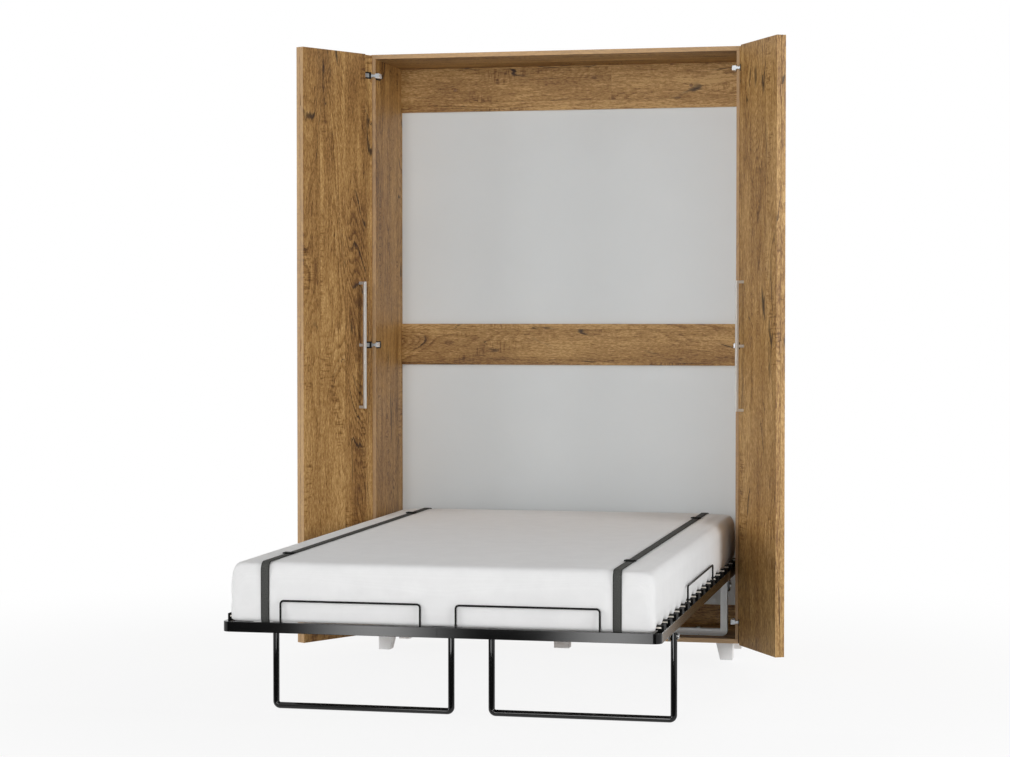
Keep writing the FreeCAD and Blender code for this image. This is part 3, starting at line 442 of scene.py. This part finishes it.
def webbing(name):
    """Woven strap: diagonal ribs that meet in the middle, and denser edges; UV is in metres."""
    shader = Shader(name, roughness=0.9, specular_ior_level=0.2)
    parts = shader.node("ShaderNodeSeparateXYZ", {"Vector": shader.coordinates.outputs["UV"]}).outputs
    from_middle = shader.math("ABSOLUTE", parts["Y"])
    slant = shader.math("ADD", parts["X"], from_middle)
    ribs = shader.math("SINE", shader.times(slant, 2 * math.pi / RIB_PITCH))
    threads = shader.math("SINE", shader.times(parts["Y"], 2 * math.pi / THREAD_PITCH))
    cloth = shader.math("MULTIPLY_ADD", ribs, 0.6, shader.times(threads, 0.4))
    fuzz = shader.noise(shader.coordinates.outputs["Object"], 500.0, 3.0)
    level = shader.math("MULTIPLY_ADD", cloth, 0.2, fuzz)
    colour = shader.ramp(level, ((0.2, srgb(40, 41, 39)), (0.8, srgb(92, 93, 90))))
    border = shader.remap(from_middle, STRAP_WIDTH / 2 - BORDER_FAR, STRAP_WIDTH / 2 - BORDER_NEAR)
    shader.set("Base Color", shader.mix(shader.times(border, 0.6), colour, srgb(32, 32, 31)))
    shader.bump(level, 0.4 * MM, 0.7)
    return shader.material


# Pieces

SHARP_ANGLE = math.radians(40)
FLAT_ANGLE = math.radians(0.5)
WELD_GAP = 0.001 * MM
EDGE_NEAR = 0.1 * MM


def keep_piece(name, mesh, material, body):
    """Puts a finished mesh in the scene, with its material, on its body."""
    piece = bpy.data.objects.new(name, mesh)
    bpy.context.scene.collection.objects.link(piece)
    mesh.materials.clear()
    mesh.materials.append(material)
    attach(piece, body)
    return piece


def smooth_shading(mesh, angle):
    for polygon in mesh.polygons:
        polygon.use_smooth = True
    mesh.set_sharp_from_angle(angle=math.radians(angle))


def mesh_of(name, points, faces):
    mesh = bpy.data.meshes.new(name)
    mesh.from_pydata(points, [], faces)
    return mesh


def finished_mesh(name, work, angle=50):
    """A mesh from a bmesh, with faces turned outwards and smooth shading."""
    bmesh.ops.recalc_face_normals(work, faces=work.faces)
    mesh = bpy.data.meshes.new(name)
    work.to_mesh(mesh)
    work.free()
    smooth_shading(mesh, angle)
    return mesh


def bend_lower_corners(work, radius):
    """Rounds the two lower outer corners of an upright U of tube, as a bender leaves them."""
    low = min(vertex.co.z for vertex in work.verts)
    end = max(vertex.co.x for vertex in work.verts)
    corners = [edge for edge in work.edges
               if all(abs(v.co.z - low) + abs(abs(v.co.x) - end) < EDGE_NEAR for v in edge.verts)]
    bmesh.ops.bevel(work, geom=corners, offset=radius, segments=6, profile=0.5, affect="EDGES")


def dressed(node, material, bevel, shift=(0, 0, 0)):
    """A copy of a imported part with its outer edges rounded, which stands for that part."""
    source = NODES[node].data
    plain = mesh_of(node, [v.co for v in source.vertices], [tuple(p.vertices) for p in source.polygons])
    work = bmesh.new()
    work.from_mesh(plain)
    bpy.data.meshes.remove(plain)
    bmesh.ops.remove_doubles(work, verts=work.verts, dist=WELD_GAP)
    bmesh.ops.dissolve_limit(work, angle_limit=FLAT_ANGLE, verts=work.verts, edges=work.edges)
    bmesh.ops.translate(work, verts=work.verts, vec=shift)
    if node == "support_frame":
        bend_lower_corners(work, STAND_BEND)
    paired = [edge for edge in work.edges if len(edge.link_faces) == 2]
    sharp = [edge for edge in paired if edge.calc_face_angle_signed() > SHARP_ANGLE]
    bmesh.ops.bevel(
        work, geom=sharp, offset=bevel, segments=3, profile=0.5, affect="EDGES", clamp_overlap=True,
    )
    piece = keep_piece(f"{node}_shown", finished_mesh(node, work), material, BODY_OF[node])
    piece.modifiers.new("Flat faces", "WEIGHTED_NORMAL").keep_sharp = True
    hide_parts(node)
    return piece


def painted(node, material):
    """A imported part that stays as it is, with a better material."""
    slots = NODES[node].data.materials
    slots.clear()
    slots.append(material)


def bridged(rings):
    """Points and faces of a closed tube through rings of equal count."""
    count = len(rings[0])
    points = [point for ring in rings for point in ring]
    faces = [tuple(reversed(range(count))), tuple(range(len(points) - count, len(points)))]
    for near in range(0, len(points) - count, count):
        for index in range(count):
            after = (index + 1) % count
            faces.append((near + index, near + after, near + count + after, near + count + index))
    return points, faces


# Boards: node, grain, turn about Z, how much lighter the board is painted for how it is lit (painted light,
# on the back rails and the right doors), how much paler its cut edges are (on the bottom panel this also
# paints light on its shaded front edge)
BOARDS = [
    ("left_side_panel", "upright", 0, 0.0, 0.6), ("right_side_panel", "upright", 0, 0.0, 0.6),
    ("top_panel", "shelf", 0, 0.0, 0.6), ("bottom_panel", "shelf", 0, 0.0, 1.0),
    ("top_back_rail", "rail", 0, 0.12, 0.6), ("middle_back_rail", "rail", 0, 0.12, 0.6),
    ("bottom_back_rail", "rail", 0, 0.12, 0.6),
    ("left_outer_door", "upright", DOOR_LEAN, 0.0, 0.6),
    ("right_outer_door", "upright", -DOOR_LEAN, 0.09, 0.05),
    ("left_inner_door", "upright", DOOR_LEAN, 0.0, 0.6),
    ("right_inner_door", "upright", -DOOR_LEAN, 0.09, 0.05),
]


def make_boards():
    for seed, (node, grain, turn, painted_light, pale_edge_and_light) in enumerate(BOARDS, start=1):
        dressed(node, oak(f"oak_{node}", grain, turn, seed, painted_light, pale_edge_and_light), BOARD_EDGE)


def slot_looks():
    """Each slot's material and how far its edges are rounded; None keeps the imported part's own edges."""
    black = coated("black_enamel", srgb(9, 9, 9), srgb(13, 13, 13), 0.14, 0.03 * MM, gloss=0.3)
    stand = coated("stand_paint", srgb(228, 231, 233), srgb(236, 239, 240), 0.4, 0.12 * MM)
    nickel = brushed("hinge_nickel", srgb(160, 164, 167), 0.32, (60, 60, 900), metallic=0.45)
    handle = brushed("handle_aluminium", srgb(214, 214, 212), 0.3, (900, 900, 14), metallic=0.5)
    zinc = brushed("zinc_steel", (0.50, 0.50, 0.50), 0.35, (500, 500, 500))
    chrome = brushed("piston_chrome", (0.75, 0.75, 0.75), 0.12, (600, 40, 600))
    foot = coated("foot_plastic", srgb(246, 246, 246), srgb(250, 250, 250), 0.4)
    dark_plastic = coated("dark_plastic", srgb(9, 9, 9), srgb(15, 15, 15), 0.6, 0.1 * MM, gloss=0.06)
    strut_black = coated("strut_black", srgb(24, 24, 24), srgb(32, 32, 32), 0.35)
    return {
        "black_steel": (black, 1.6 * MM), "stand_paint": (stand, 2.0 * MM), "hinge_steel": (nickel, 0.5 * MM),
        "handle_metal": (handle, None), "bolt_steel": (zinc, 0.5 * MM),
        "strut_paint": (strut_black, 0.6 * MM), "strut_chrome": (chrome, 0.4 * MM),
        "foot_plastic": (foot, 2.0 * MM), "holder_plastic": (dark_plastic, 0.8 * MM),
        "slat_wood": (plain_wood("slat_wood"), 1.2 * MM),
        "back_sheet": (sheet_board("back_sheet"), 0.4 * MM),
    }


def node_looks():
    """Materials of the parts that differ from the rest of their slot."""
    leg = coated("leg_enamel", srgb(6, 6, 6), srgb(9, 9, 9), 0.05, 0.004 * MM, gloss=0.4)
    bow = coated("bow_enamel", srgb(7, 7, 7), srgb(10, 10, 10), 0.5, gloss=0.15)
    fold = coated("fold_enamel", srgb(168, 130, 86), srgb(182, 144, 98), 0.5)
    looks = {"left_leg": leg, "right_leg": leg, "foot_bows": bow, "side_bows": bow}
    looks.update({node: fold for node in SLOT_OF if "fold" in node})
    return looks


def make_metal_and_plastic():
    by_slot, by_node = slot_looks(), node_looks()
    for node, slot in SLOT_OF.items():
        if slot not in by_slot:
            continue
        material, bevel = by_slot[slot]
        material = by_node.get(node, material)
        if bevel is None:
            painted(node, material)
        else:
            dressed(node, material, bevel)
    dressed("strap_buckles", bpy.data.materials["dark_plastic"], BUCKLE_ROUND, (0, 0, -BUCKLE_DROP))


# Small fittings


def dome(work, centre, radius, height, axis):
    """A low rounded cap on a face; axis points out of the face."""
    turn = Vector((0, 0, 1)).rotation_difference(Vector(axis)).to_matrix().to_4x4()
    made = bmesh.ops.create_uvsphere(work, u_segments=20, v_segments=10, radius=1.0)
    shape = Matrix.Translation(centre) @ turn @ Matrix.Diagonal((radius, radius, height, 1))
    bmesh.ops.transform(work, matrix=shape, verts=made["verts"])


def slab(work, low, high, place=Matrix(), bevel=0.0):
    """A block between two corners, with its edges rounded, set at a place."""
    made = bmesh.ops.create_cube(work, size=1.0)
    low, high = Vector(low), Vector(high)
    shape = place @ Matrix.Translation((low + high) / 2) @ Matrix.Diagonal((*(high - low), 1))
    bmesh.ops.transform(work, matrix=shape, verts=made["verts"])
    if bevel:
        edges = {edge for vertex in made["verts"] for edge in vertex.link_edges}
        bmesh.ops.bevel(work, geom=list(edges), offset=bevel, segments=3, profile=0.5, affect="EDGES")


def mirrored(side, low, high):
    """A block's corners on the left or the right, from those on the right."""
    xs = sorted((side * low[0], side * high[0]))
    return (xs[0], *low[1:]), (xs[1], *high[1:])


def door_axes(side):
    """A door's own axes: along its leaves from the hinge, across them towards the bed, and up."""
    lean_sin, lean_cos = math.sin(DOOR_LEAN), math.cos(DOOR_LEAN)
    return Matrix((
        (side * lean_sin, -side * lean_cos, 0, side * HINGE_X),
        (-lean_cos, -lean_sin, 0, HINGE_Y),
        (0, 0, 1, 0),
        (0, 0, 0, 1),
    ))


def make_hinge_details():
    """Covers, dark ends and mounting plates for the hinge arms, and dark rims round the doors' plates; the
    dark ends and rims are painted shadow round the hinges, and the mounting plates are real plates whose dark
    colour also stands in for that shadow.
    """
    bright = brushed("hinge_cover", srgb(232, 233, 234), 0.25, (60, 60, 900), metallic=0.35)
    dark = coated("hinge_dark", srgb(12, 12, 12), srgb(18, 18, 18), 0.5, gloss=0.2)
    wall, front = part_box("right_side_panel")[0].xy
    covers, mounts = bmesh.new(), bmesh.new()
    for side, name in SIDES:
        shade_rims = bmesh.new()
        for level, thick in zip(HINGE_HEIGHTS, HINGE_ARMS):
            low = Vector((wall - thick, front, level))
            high = Vector((wall, front, level))
            slab(covers, *mirrored(side, low + COVER_LOW, high + COVER_HIGH), bevel=COVER_ROUND)
            # Painted shadow: a dark end behind each cover, and a dark mounting plate under it
            slab(mounts, *mirrored(side, low + ARM_END_LOW, high + ARM_END_HIGH), bevel=MOUNT_ROUND)
            slab(mounts, *mirrored(side, high + MOUNT_LOW, high + MOUNT_HIGH), bevel=MOUNT_ROUND)
            up = Vector((0, 0, level))
            # Painted shadow: a dark rim round the door's hinge plate
            slab(shade_rims, SHADE_RIM_LOW + up, SHADE_RIM_HIGH + up, door_axes(side))
        mesh = finished_mesh(f"{name}_hinge_shade_rims", shade_rims)
        keep_piece(f"{name}_hinge_shade_rims", mesh, dark, f"{name}_outer_leaf")
    keep_piece("hinge_covers", finished_mesh("hinge_covers", covers), bright, "cabinet")
    keep_piece("hinge_mounts", finished_mesh("hinge_mounts", mounts), dark, "cabinet")


def make_slat_caps():
    """A low pocket round the outer end of each slat, and a narrower clip over it."""
    low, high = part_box("right_slats")
    plastic = bpy.data.materials["dark_plastic"]
    shapes = ((POCKET_LENGTH, (low.z + high.z) / 2), (CLIP_LENGTH, high.z + CAP_WALL))
    work = bmesh.new()
    middle = low.y + SLAT_WIDTH / 2
    while middle < high.y:
        for side, _ in SIDES:
            for length, top in shapes:
                near = (high.x - CAP_DEPTH, middle - length / 2, low.z - CAP_WALL)
                far = (high.x, middle + length / 2, top)
                slab(work, *mirrored(side, near, far), bevel=CAP_WALL)
        middle += SLAT_PITCH
    keep_piece("slat_caps", finished_mesh("slat_caps", work), plastic, "bed")


def make_wall_caps():
    """Brown caps over the two wall screws in the top rail."""
    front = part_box("top_back_rail")[0].y
    work = bmesh.new()
    for side, _ in SIDES:
        centre = (side * WALL_SCREW_X, front, WALL_SCREW_Z)
        dome(work, centre, SCREW_CAP_RADIUS, SCREW_CAP_HEIGHT, (0, -1, 0))
    brown = coated("cap_brown", srgb(128, 92, 56), srgb(140, 102, 64), 0.45)
    keep_piece("wall_screw_caps", finished_mesh("wall_screw_caps", work), brown, "cabinet")


# Mattress

# Share of the thickness, how far the outline is drawn in (mm), corner radius (mm)
MATTRESS_ROWS = (
    (0.00, 1, 12), (0.03, 0, 12), (0.40, 0, 13), (0.65, 0.5, 15), (0.78, 1.5, 18), (0.86, 3.5, 22),
    (0.91, 5.5, 25), (0.945, 8, 28), (0.97, 11.5, 31), (0.985, 16, 34), (0.995, 26, 38), (1.00, 200, 60),
)
MATTRESS_SWELL = 2.0 * MM
MATTRESS_VOXEL = 10 * MM
MATTRESS_GAP = 2.0 * MM
SWELL_PRESSURE = 4.0
SWELL_FRAMES = 20
LIP_DEPTH = 33 * MM
LIP_FADE = 16 * MM
LIP_TUCK = 3 * MM
LOW_EDGE = 40 * MM
SAG = 6 * MM
SIDE_SAG = 11 * MM
SIDE_STRIP = 40 * MM
SAG_START = 2 * MM
SAG_FULL = 16 * MM


def rounded_outline(half_width, foot_y, head_y, radius, corner_steps=8):
    """Points round a rectangle with quarter-round corners."""
    corners = ((half_width - radius, foot_y + radius, -90), (half_width - radius, head_y - radius, 0),
               (-half_width + radius, head_y - radius, 90), (-half_width + radius, foot_y + radius, 180))
    points = []
    for x, y, start in corners:
        for step in range(corner_steps + 1):
            angle = math.radians(start + 90 * step / corner_steps)
            points.append((x + radius * math.cos(angle), y + radius * math.sin(angle)))
    return points


def smooth_step(value, low, high):
    share = min(max((value - low) / (high - low), 0.0), 1.0)
    return share * share * (3 - 2 * share)


def under_strap(x):
    """1 below a strap, fading to 0 beside it."""
    return 1 - smooth_step(abs(abs(x) - STRAP_X), STRAP_WIDTH / 2, STRAP_WIDTH)


def mattress_shell(bottom):
    """The mattress before it swells, as a closed mesh of even squares."""
    low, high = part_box("mattress")
    top = high.z - MATTRESS_SWELL
    rings = []
    for share, inset, radius in MATTRESS_ROWS:
        draw = inset * MM + MATTRESS_SWELL
        outline = rounded_outline(high.x - draw, low.y + draw, high.y - draw, radius * MM)
        rings.append([(x, y, bottom + share * (top - bottom)) for x, y in outline])
    shell = bpy.data.objects.new("mattress_shell", mesh_of("mattress_shell", *bridged(rings)))
    bpy.context.scene.collection.objects.link(shell)
    remesh = shell.modifiers.new("Even", "REMESH")
    remesh.mode = "VOXEL"
    remesh.voxel_size = MATTRESS_VOXEL
    even = bpy.data.meshes.new_from_object(shell.evaluated_get(bpy.context.evaluated_depsgraph_get()))
    bpy.data.objects.remove(shell)
    return even


def hang_lower_edge(mesh, bottom):
    """Lets the lower side sag between the slats, most along the sides, and down to the rail at the foot."""
    low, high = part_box("mattress")
    first_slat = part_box("left_slats")[0].y + SLAT_WIDTH / 2
    drop = bottom - low.z + LIP_TUCK
    for vertex in mesh.vertices:
        x, y, z = vertex.co
        lower = 1 - smooth_step(z, bottom, bottom + LOW_EDGE)
        past = 1 - smooth_step(y, low.y + LIP_DEPTH - LIP_FADE, low.y + LIP_DEPTH)
        from_slat = abs((y - first_slat + SLAT_PITCH / 2) % SLAT_PITCH - SLAT_PITCH / 2)
        between = smooth_step(from_slat, SLAT_WIDTH / 2 + SAG_START, SLAT_WIDTH / 2 + SAG_FULL)
        at_side = smooth_step(abs(x), high.x - SIDE_STRIP, high.x - SIDE_STRIP / 2)
        sag = between * (SAG + (SIDE_SAG - SAG) * at_side)
        vertex.co.z -= lower * max(past * drop, sag)


def swell(piece, bottom):
    """Fills the cover with air for a moment; the straps and the slats hold it back."""
    held = piece.vertex_groups.new(name="held")
    for vertex in piece.data.vertices:
        low = 1 - smooth_step(vertex.co.z, bottom, bottom + LOW_EDGE)
        held.add([vertex.index], max(under_strap(vertex.co.x), low), "REPLACE")
    cloth = piece.modifiers.new("Swell", "CLOTH")
    cloth.settings.use_pressure = True
    cloth.settings.uniform_pressure_force = SWELL_PRESSURE
    cloth.settings.effector_weights.gravity = 0.0
    cloth.settings.vertex_group_mass = held.name
    cloth.point_cache.frame_end = SWELL_FRAMES
    for step in range(1, SWELL_FRAMES + 1):
        bpy.context.scene.frame_set(step)
    swollen = piece.evaluated_get(bpy.context.evaluated_depsgraph_get()).data
    places = [vertex.co.copy() for vertex in swollen.vertices]
    piece.modifiers.remove(cloth)
    piece.vertex_groups.remove(held)
    bpy.context.scene.frame_set(1)
    for vertex, place in zip(piece.data.vertices, places):
        move = place - vertex.co
        vertex.co += move * min(1.0, MATTRESS_SWELL / max(move.length, 1e-9))


def make_mattress():
    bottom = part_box("left_slats")[1].z + MATTRESS_GAP
    mesh = mattress_shell(bottom)
    hang_lower_edge(mesh, bottom)
    smooth_shading(mesh, 180)
    piece = keep_piece("mattress_cover", mesh, knit("mattress_knit"), "bed")
    swell(piece, bottom)
    piece.modifiers.new("Round", "SUBSURF").render_levels = 1
    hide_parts("mattress")


# Straps


def arc_points(centre, radius, start, end, steps=10):
    """Points (y, z) on an arc, angles in degrees from +Y towards +Z."""
    angles = [math.radians(start + (end - start) * step / steps) for step in range(steps + 1)]
    return [(centre[0] + radius * math.cos(a), centre[1] + radius * math.sin(a)) for a in angles]


def strap_path():
    """Points (y, z) of the webbing's inner face, from behind the foot rail to the head rail."""
    low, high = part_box("mattress")
    rail_low, rail_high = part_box("left_frame_tube")
    out = MATTRESS_SWELL - STRAP_LIFT
    foot, head, top = low.y + out, high.y - out, high.z - out
    side_low = rail_high.z + STRAP_RISE
    end_low = rail_low.z + STRAP_END
    behind = rail_low.y + RAIL_WIDTH + STRAP_THICK + STRAP_FOOT_GAP
    beyond = rail_high.y + STRAP_HEAD_GAP
    points = [(behind, end_low), (behind, rail_high.z - 2 * STRAP_LEAN)]
    points += [(behind - STRAP_LEAN, rail_high.z + STRAP_LEAN)]
    points += [(foot, side_low), (foot, top - 2 * STRAP_BEND)]
    points += arc_points((foot + STRAP_BEND, top - STRAP_BEND), STRAP_BEND, 180, 90)
    for step in range(1, STRAP_STEPS):
        points.append((foot + STRAP_BEND + (head - foot - 2 * STRAP_BEND) * step / STRAP_STEPS, top))
    points += arc_points((head - STRAP_BEND, top - STRAP_BEND), STRAP_BEND, 90, 0)
    points += [(head, top - 2 * STRAP_BEND), (head, side_low)]
    points += [(beyond, rail_high.z - STRAP_END), (beyond, end_low)]
    return points


def strip(name, x, path, width, thick):
    """A flat band along points (y, z), with rounded edges and UV in metres."""
    half, rim = width / 2, thick / 2
    section = ((-half, rim), (-half + rim, thick), (0, thick), (half - rim, thick),
               (half, rim), (half - rim, 0), (0, 0), (-half + rim, 0))
    line = [Vector((x, y, z)) for y, z in path]
    rings, marks, far = [], [], 0.0
    for index, place in enumerate(line):
        before, after = line[max(index - 1, 0)], line[min(index + 1, len(line) - 1)]
        out = Vector((1, 0, 0)).cross((after - before).normalized())
        far += (place - before).length
        rings.append([place + Vector((across, 0, 0)) + out * up for across, up in section])
        marks += [(far, across) for across, _ in section]
    mesh = mesh_of(name, *bridged(rings))
    layer = mesh.uv_layers.new(name="UVMap")
    for loop in mesh.loops:
        layer.data[loop.index].uv = marks[loop.vertex_index]
    work = bmesh.new()
    work.from_mesh(mesh)
    bpy.data.meshes.remove(mesh)
    return finished_mesh(name, work)


def make_straps():
    cloth = webbing("strap_webbing")
    path = strap_path()
    buckle_low, buckle_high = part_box("strap_buckles")
    for side, name in SIDES:
        strap = strip(f"{name}_strap", side * STRAP_X, path, STRAP_WIDTH, STRAP_THICK)
        piece = keep_piece(f"{name}_strap", strap, cloth, "bed")
        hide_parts("straps")
        for end, middle in (("foot", buckle_low.y + BUCKLE_HALF), ("head", buckle_high.y - BUCKLE_HALF)):
            loop_name = f"{name}_{end}_strap_loop"
            loop_path = arc_points((middle, buckle_low.z - LOOP_DROP), LOOP_RADIUS, 180, 0)
            loop = strip(loop_name, side * STRAP_X, loop_path, LOOP_WIDTH, LOOP_THICK)
            keep_piece(loop_name, loop, cloth, "bed")


# Studio

AMBIENT = 0.25

# The floor keeps most of its shadow up to the near distance and is plain white from the far one
FLOOR_HALF = 40.0
SHADOW_NEAR = 1.2
SHADOW_FAR = 3.4
SHADOW_WHITE = 0.88

# Glowing cards that only reflections see, painting reflections on the black tubes; each bright zone has its
# middle and its reach along X
CARD_SPAN = (-1.7, 1.3)
CARD_FRONT = -1.9
CARD_BACK = -0.72
CARD_LOW = 1 * MM
CARD_TOP = 0.31
CARD_DARK = 0.03
CARD_BRIGHT = 9.0
CARD_ZONES = ((-0.415, 0.33), (0.383, 0.29))

# Lamps: name, place, what it points at, width and height, watts
LAMPS = (
    ("front", (-0.9, -9.0, 1.8), (0, 0, 1.1), (1.8, 3.2), 195),
    ("right", (6.7, -3.2, 2.3), (0, 0, 1.0), (3.0, 3.0), 262),
    ("left", (-6.3, -4.6, 2.3), (0, 0, 1.0), (3.0, 3.0), 190),
    ("back", (2.5, 9.0, 2.6), (0, 1.0, 1.1), (3.0, 3.0), 360),
)


def make_camera():
    lens = bpy.data.cameras.new("camera")
    lens.lens = CAMERA_LENS
    lens.sensor_width = SENSOR_WIDTH
    camera = bpy.data.objects.new("camera", lens)
    bpy.context.scene.collection.objects.link(camera)
    camera.location = CAMERA_PLACE
    level = math.cos(CAMERA_PITCH)
    look = Vector((-math.sin(CAMERA_YAW) * level, math.cos(CAMERA_YAW) * level, -math.sin(CAMERA_PITCH)))
    camera.rotation_euler = look.to_track_quat("-Z", "Y").to_euler()
    bpy.context.scene.camera = camera


def seen_directly(tree):
    """1 where the camera, a mirror or glass sees a surface, and 0 where it only lights others."""
    path = tree.nodes.new("ShaderNodeLightPath")
    total = path.outputs["Is Camera Ray"]
    for output in ("Is Glossy Ray", "Is Transmission Ray"):
        most = tree.nodes.new("ShaderNodeMath")
        most.operation = "MAXIMUM"
        tree.links.new(total, most.inputs[0])
        tree.links.new(path.outputs[output], most.inputs[1])
        total = most.outputs[0]
    return total


def make_world():
    """A white background that lights the object only a little."""
    world = bpy.data.worlds.new("studio")
    bpy.context.scene.world = world
    world.use_nodes = True
    tree = world.node_tree
    background = tree.nodes["Background"]
    background.inputs["Color"].default_value = (1, 1, 1, 1)
    strength = tree.nodes.new("ShaderNodeMapRange")
    strength.inputs["To Min"].default_value = AMBIENT
    strength.inputs["To Max"].default_value = 1.0
    tree.links.new(seen_directly(tree), strength.inputs["Value"])
    tree.links.new(strength.outputs[0], background.inputs["Strength"])


def stage_plane(name, corners, material):
    plane = bpy.data.objects.new(name, mesh_of(name, corners, [(0, 1, 2, 3)]))
    bpy.context.scene.collection.objects.link(plane)
    plane.data.materials.append(material)
    return plane


def make_floor():
    """A wide white floor that keeps a soft shadow near the object and fades into the background."""
    shader = Shader("floor_white", base_color=(0.82, 0.82, 0.82, 1), roughness=0.9)
    place = shader.coordinates.outputs["Object"]
    far = shader.node("ShaderNodeVectorMath", {0: place}, operation="LENGTH").outputs["Value"]
    white = shader.remap(far, SHADOW_NEAR, SHADOW_FAR, SHADOW_WHITE, 1.0, smooth=True)
    share = shader.times(seen_directly(shader.tree), white)
    glow = shader.node("ShaderNodeEmission")
    blend = shader.node("ShaderNodeMixShader", {0: share, 1: shader.surface.outputs[0], 2: glow.outputs[0]})
    shader.tree.links.new(blend.outputs[0], shader.tree.nodes["Material Output"].inputs["Surface"])
    corners = [(x * FLOOR_HALF, y * FLOOR_HALF, 0) for x, y in ((-1, -1), (1, -1), (1, 1), (-1, 1))]
    stage_plane("floor", corners, shader.material)


def make_painted_reflections():
    """Cards that only reflections see, which paint reflections on the black tubes: an upright glowing one
    with two bright zones, and a dark one on the floor.
    """
    shader = Shader("painted_reflection_glow")
    place = shader.coordinates.outputs["Object"]
    x = shader.node("ShaderNodeSeparateXYZ", {"Vector": place}).outputs["X"]
    level = CARD_DARK
    for middle, reach in CARD_ZONES:
        bright = shader.remap(shader.far_from(x, middle), 0.0, reach, CARD_BRIGHT, 0.0, smooth=True)
        level = shader.math("ADD", bright, level)
    glow = shader.node("ShaderNodeEmission", {"Strength": level})
    shader.tree.links.new(glow.outputs[0], shader.tree.nodes["Material Output"].inputs["Surface"])
    dark = Shader("flag", base_color=(0.01, 0.01, 0.01, 1), roughness=1.0)
    left, right = CARD_SPAN
    foot = [(left, CARD_FRONT, CARD_LOW), (right, CARD_FRONT, CARD_LOW)]
    upright = foot + [(right, CARD_FRONT, CARD_TOP), (left, CARD_FRONT, CARD_TOP)]
    lying = foot + [(right, CARD_BACK, CARD_LOW), (left, CARD_BACK, CARD_LOW)]
    cards = (("painted_reflection_glow", upright, shader), ("flag", lying, dark))
    for name, corners, look in cards:
        card = stage_plane(name, corners, look.material)
        card.visible_camera = False
        card.visible_diffuse = False
        card.visible_transmission = False
        card.visible_shadow = False


def make_lamp(name, place, target, size, power):
    lamp = bpy.data.lights.new(name, "AREA")
    lamp.shape = "RECTANGLE"
    lamp.size, lamp.size_y = size
    lamp.energy = power
    holder = bpy.data.objects.new(name, lamp)
    bpy.context.scene.collection.objects.link(holder)
    holder.location = place
    holder.rotation_euler = (Vector(target) - Vector(place)).to_track_quat("-Z", "Y").to_euler()


def make_studio():
    bpy.context.scene.view_settings.view_transform = "Standard"
    make_camera()
    make_world()
    make_floor()
    make_painted_reflections()
    for lamp in LAMPS:
        make_lamp(*lamp)


make_boards()
make_metal_and_plastic()
make_wall_caps()
make_hinge_details()
make_slat_caps()
make_mattress()
make_straps()
make_studio()
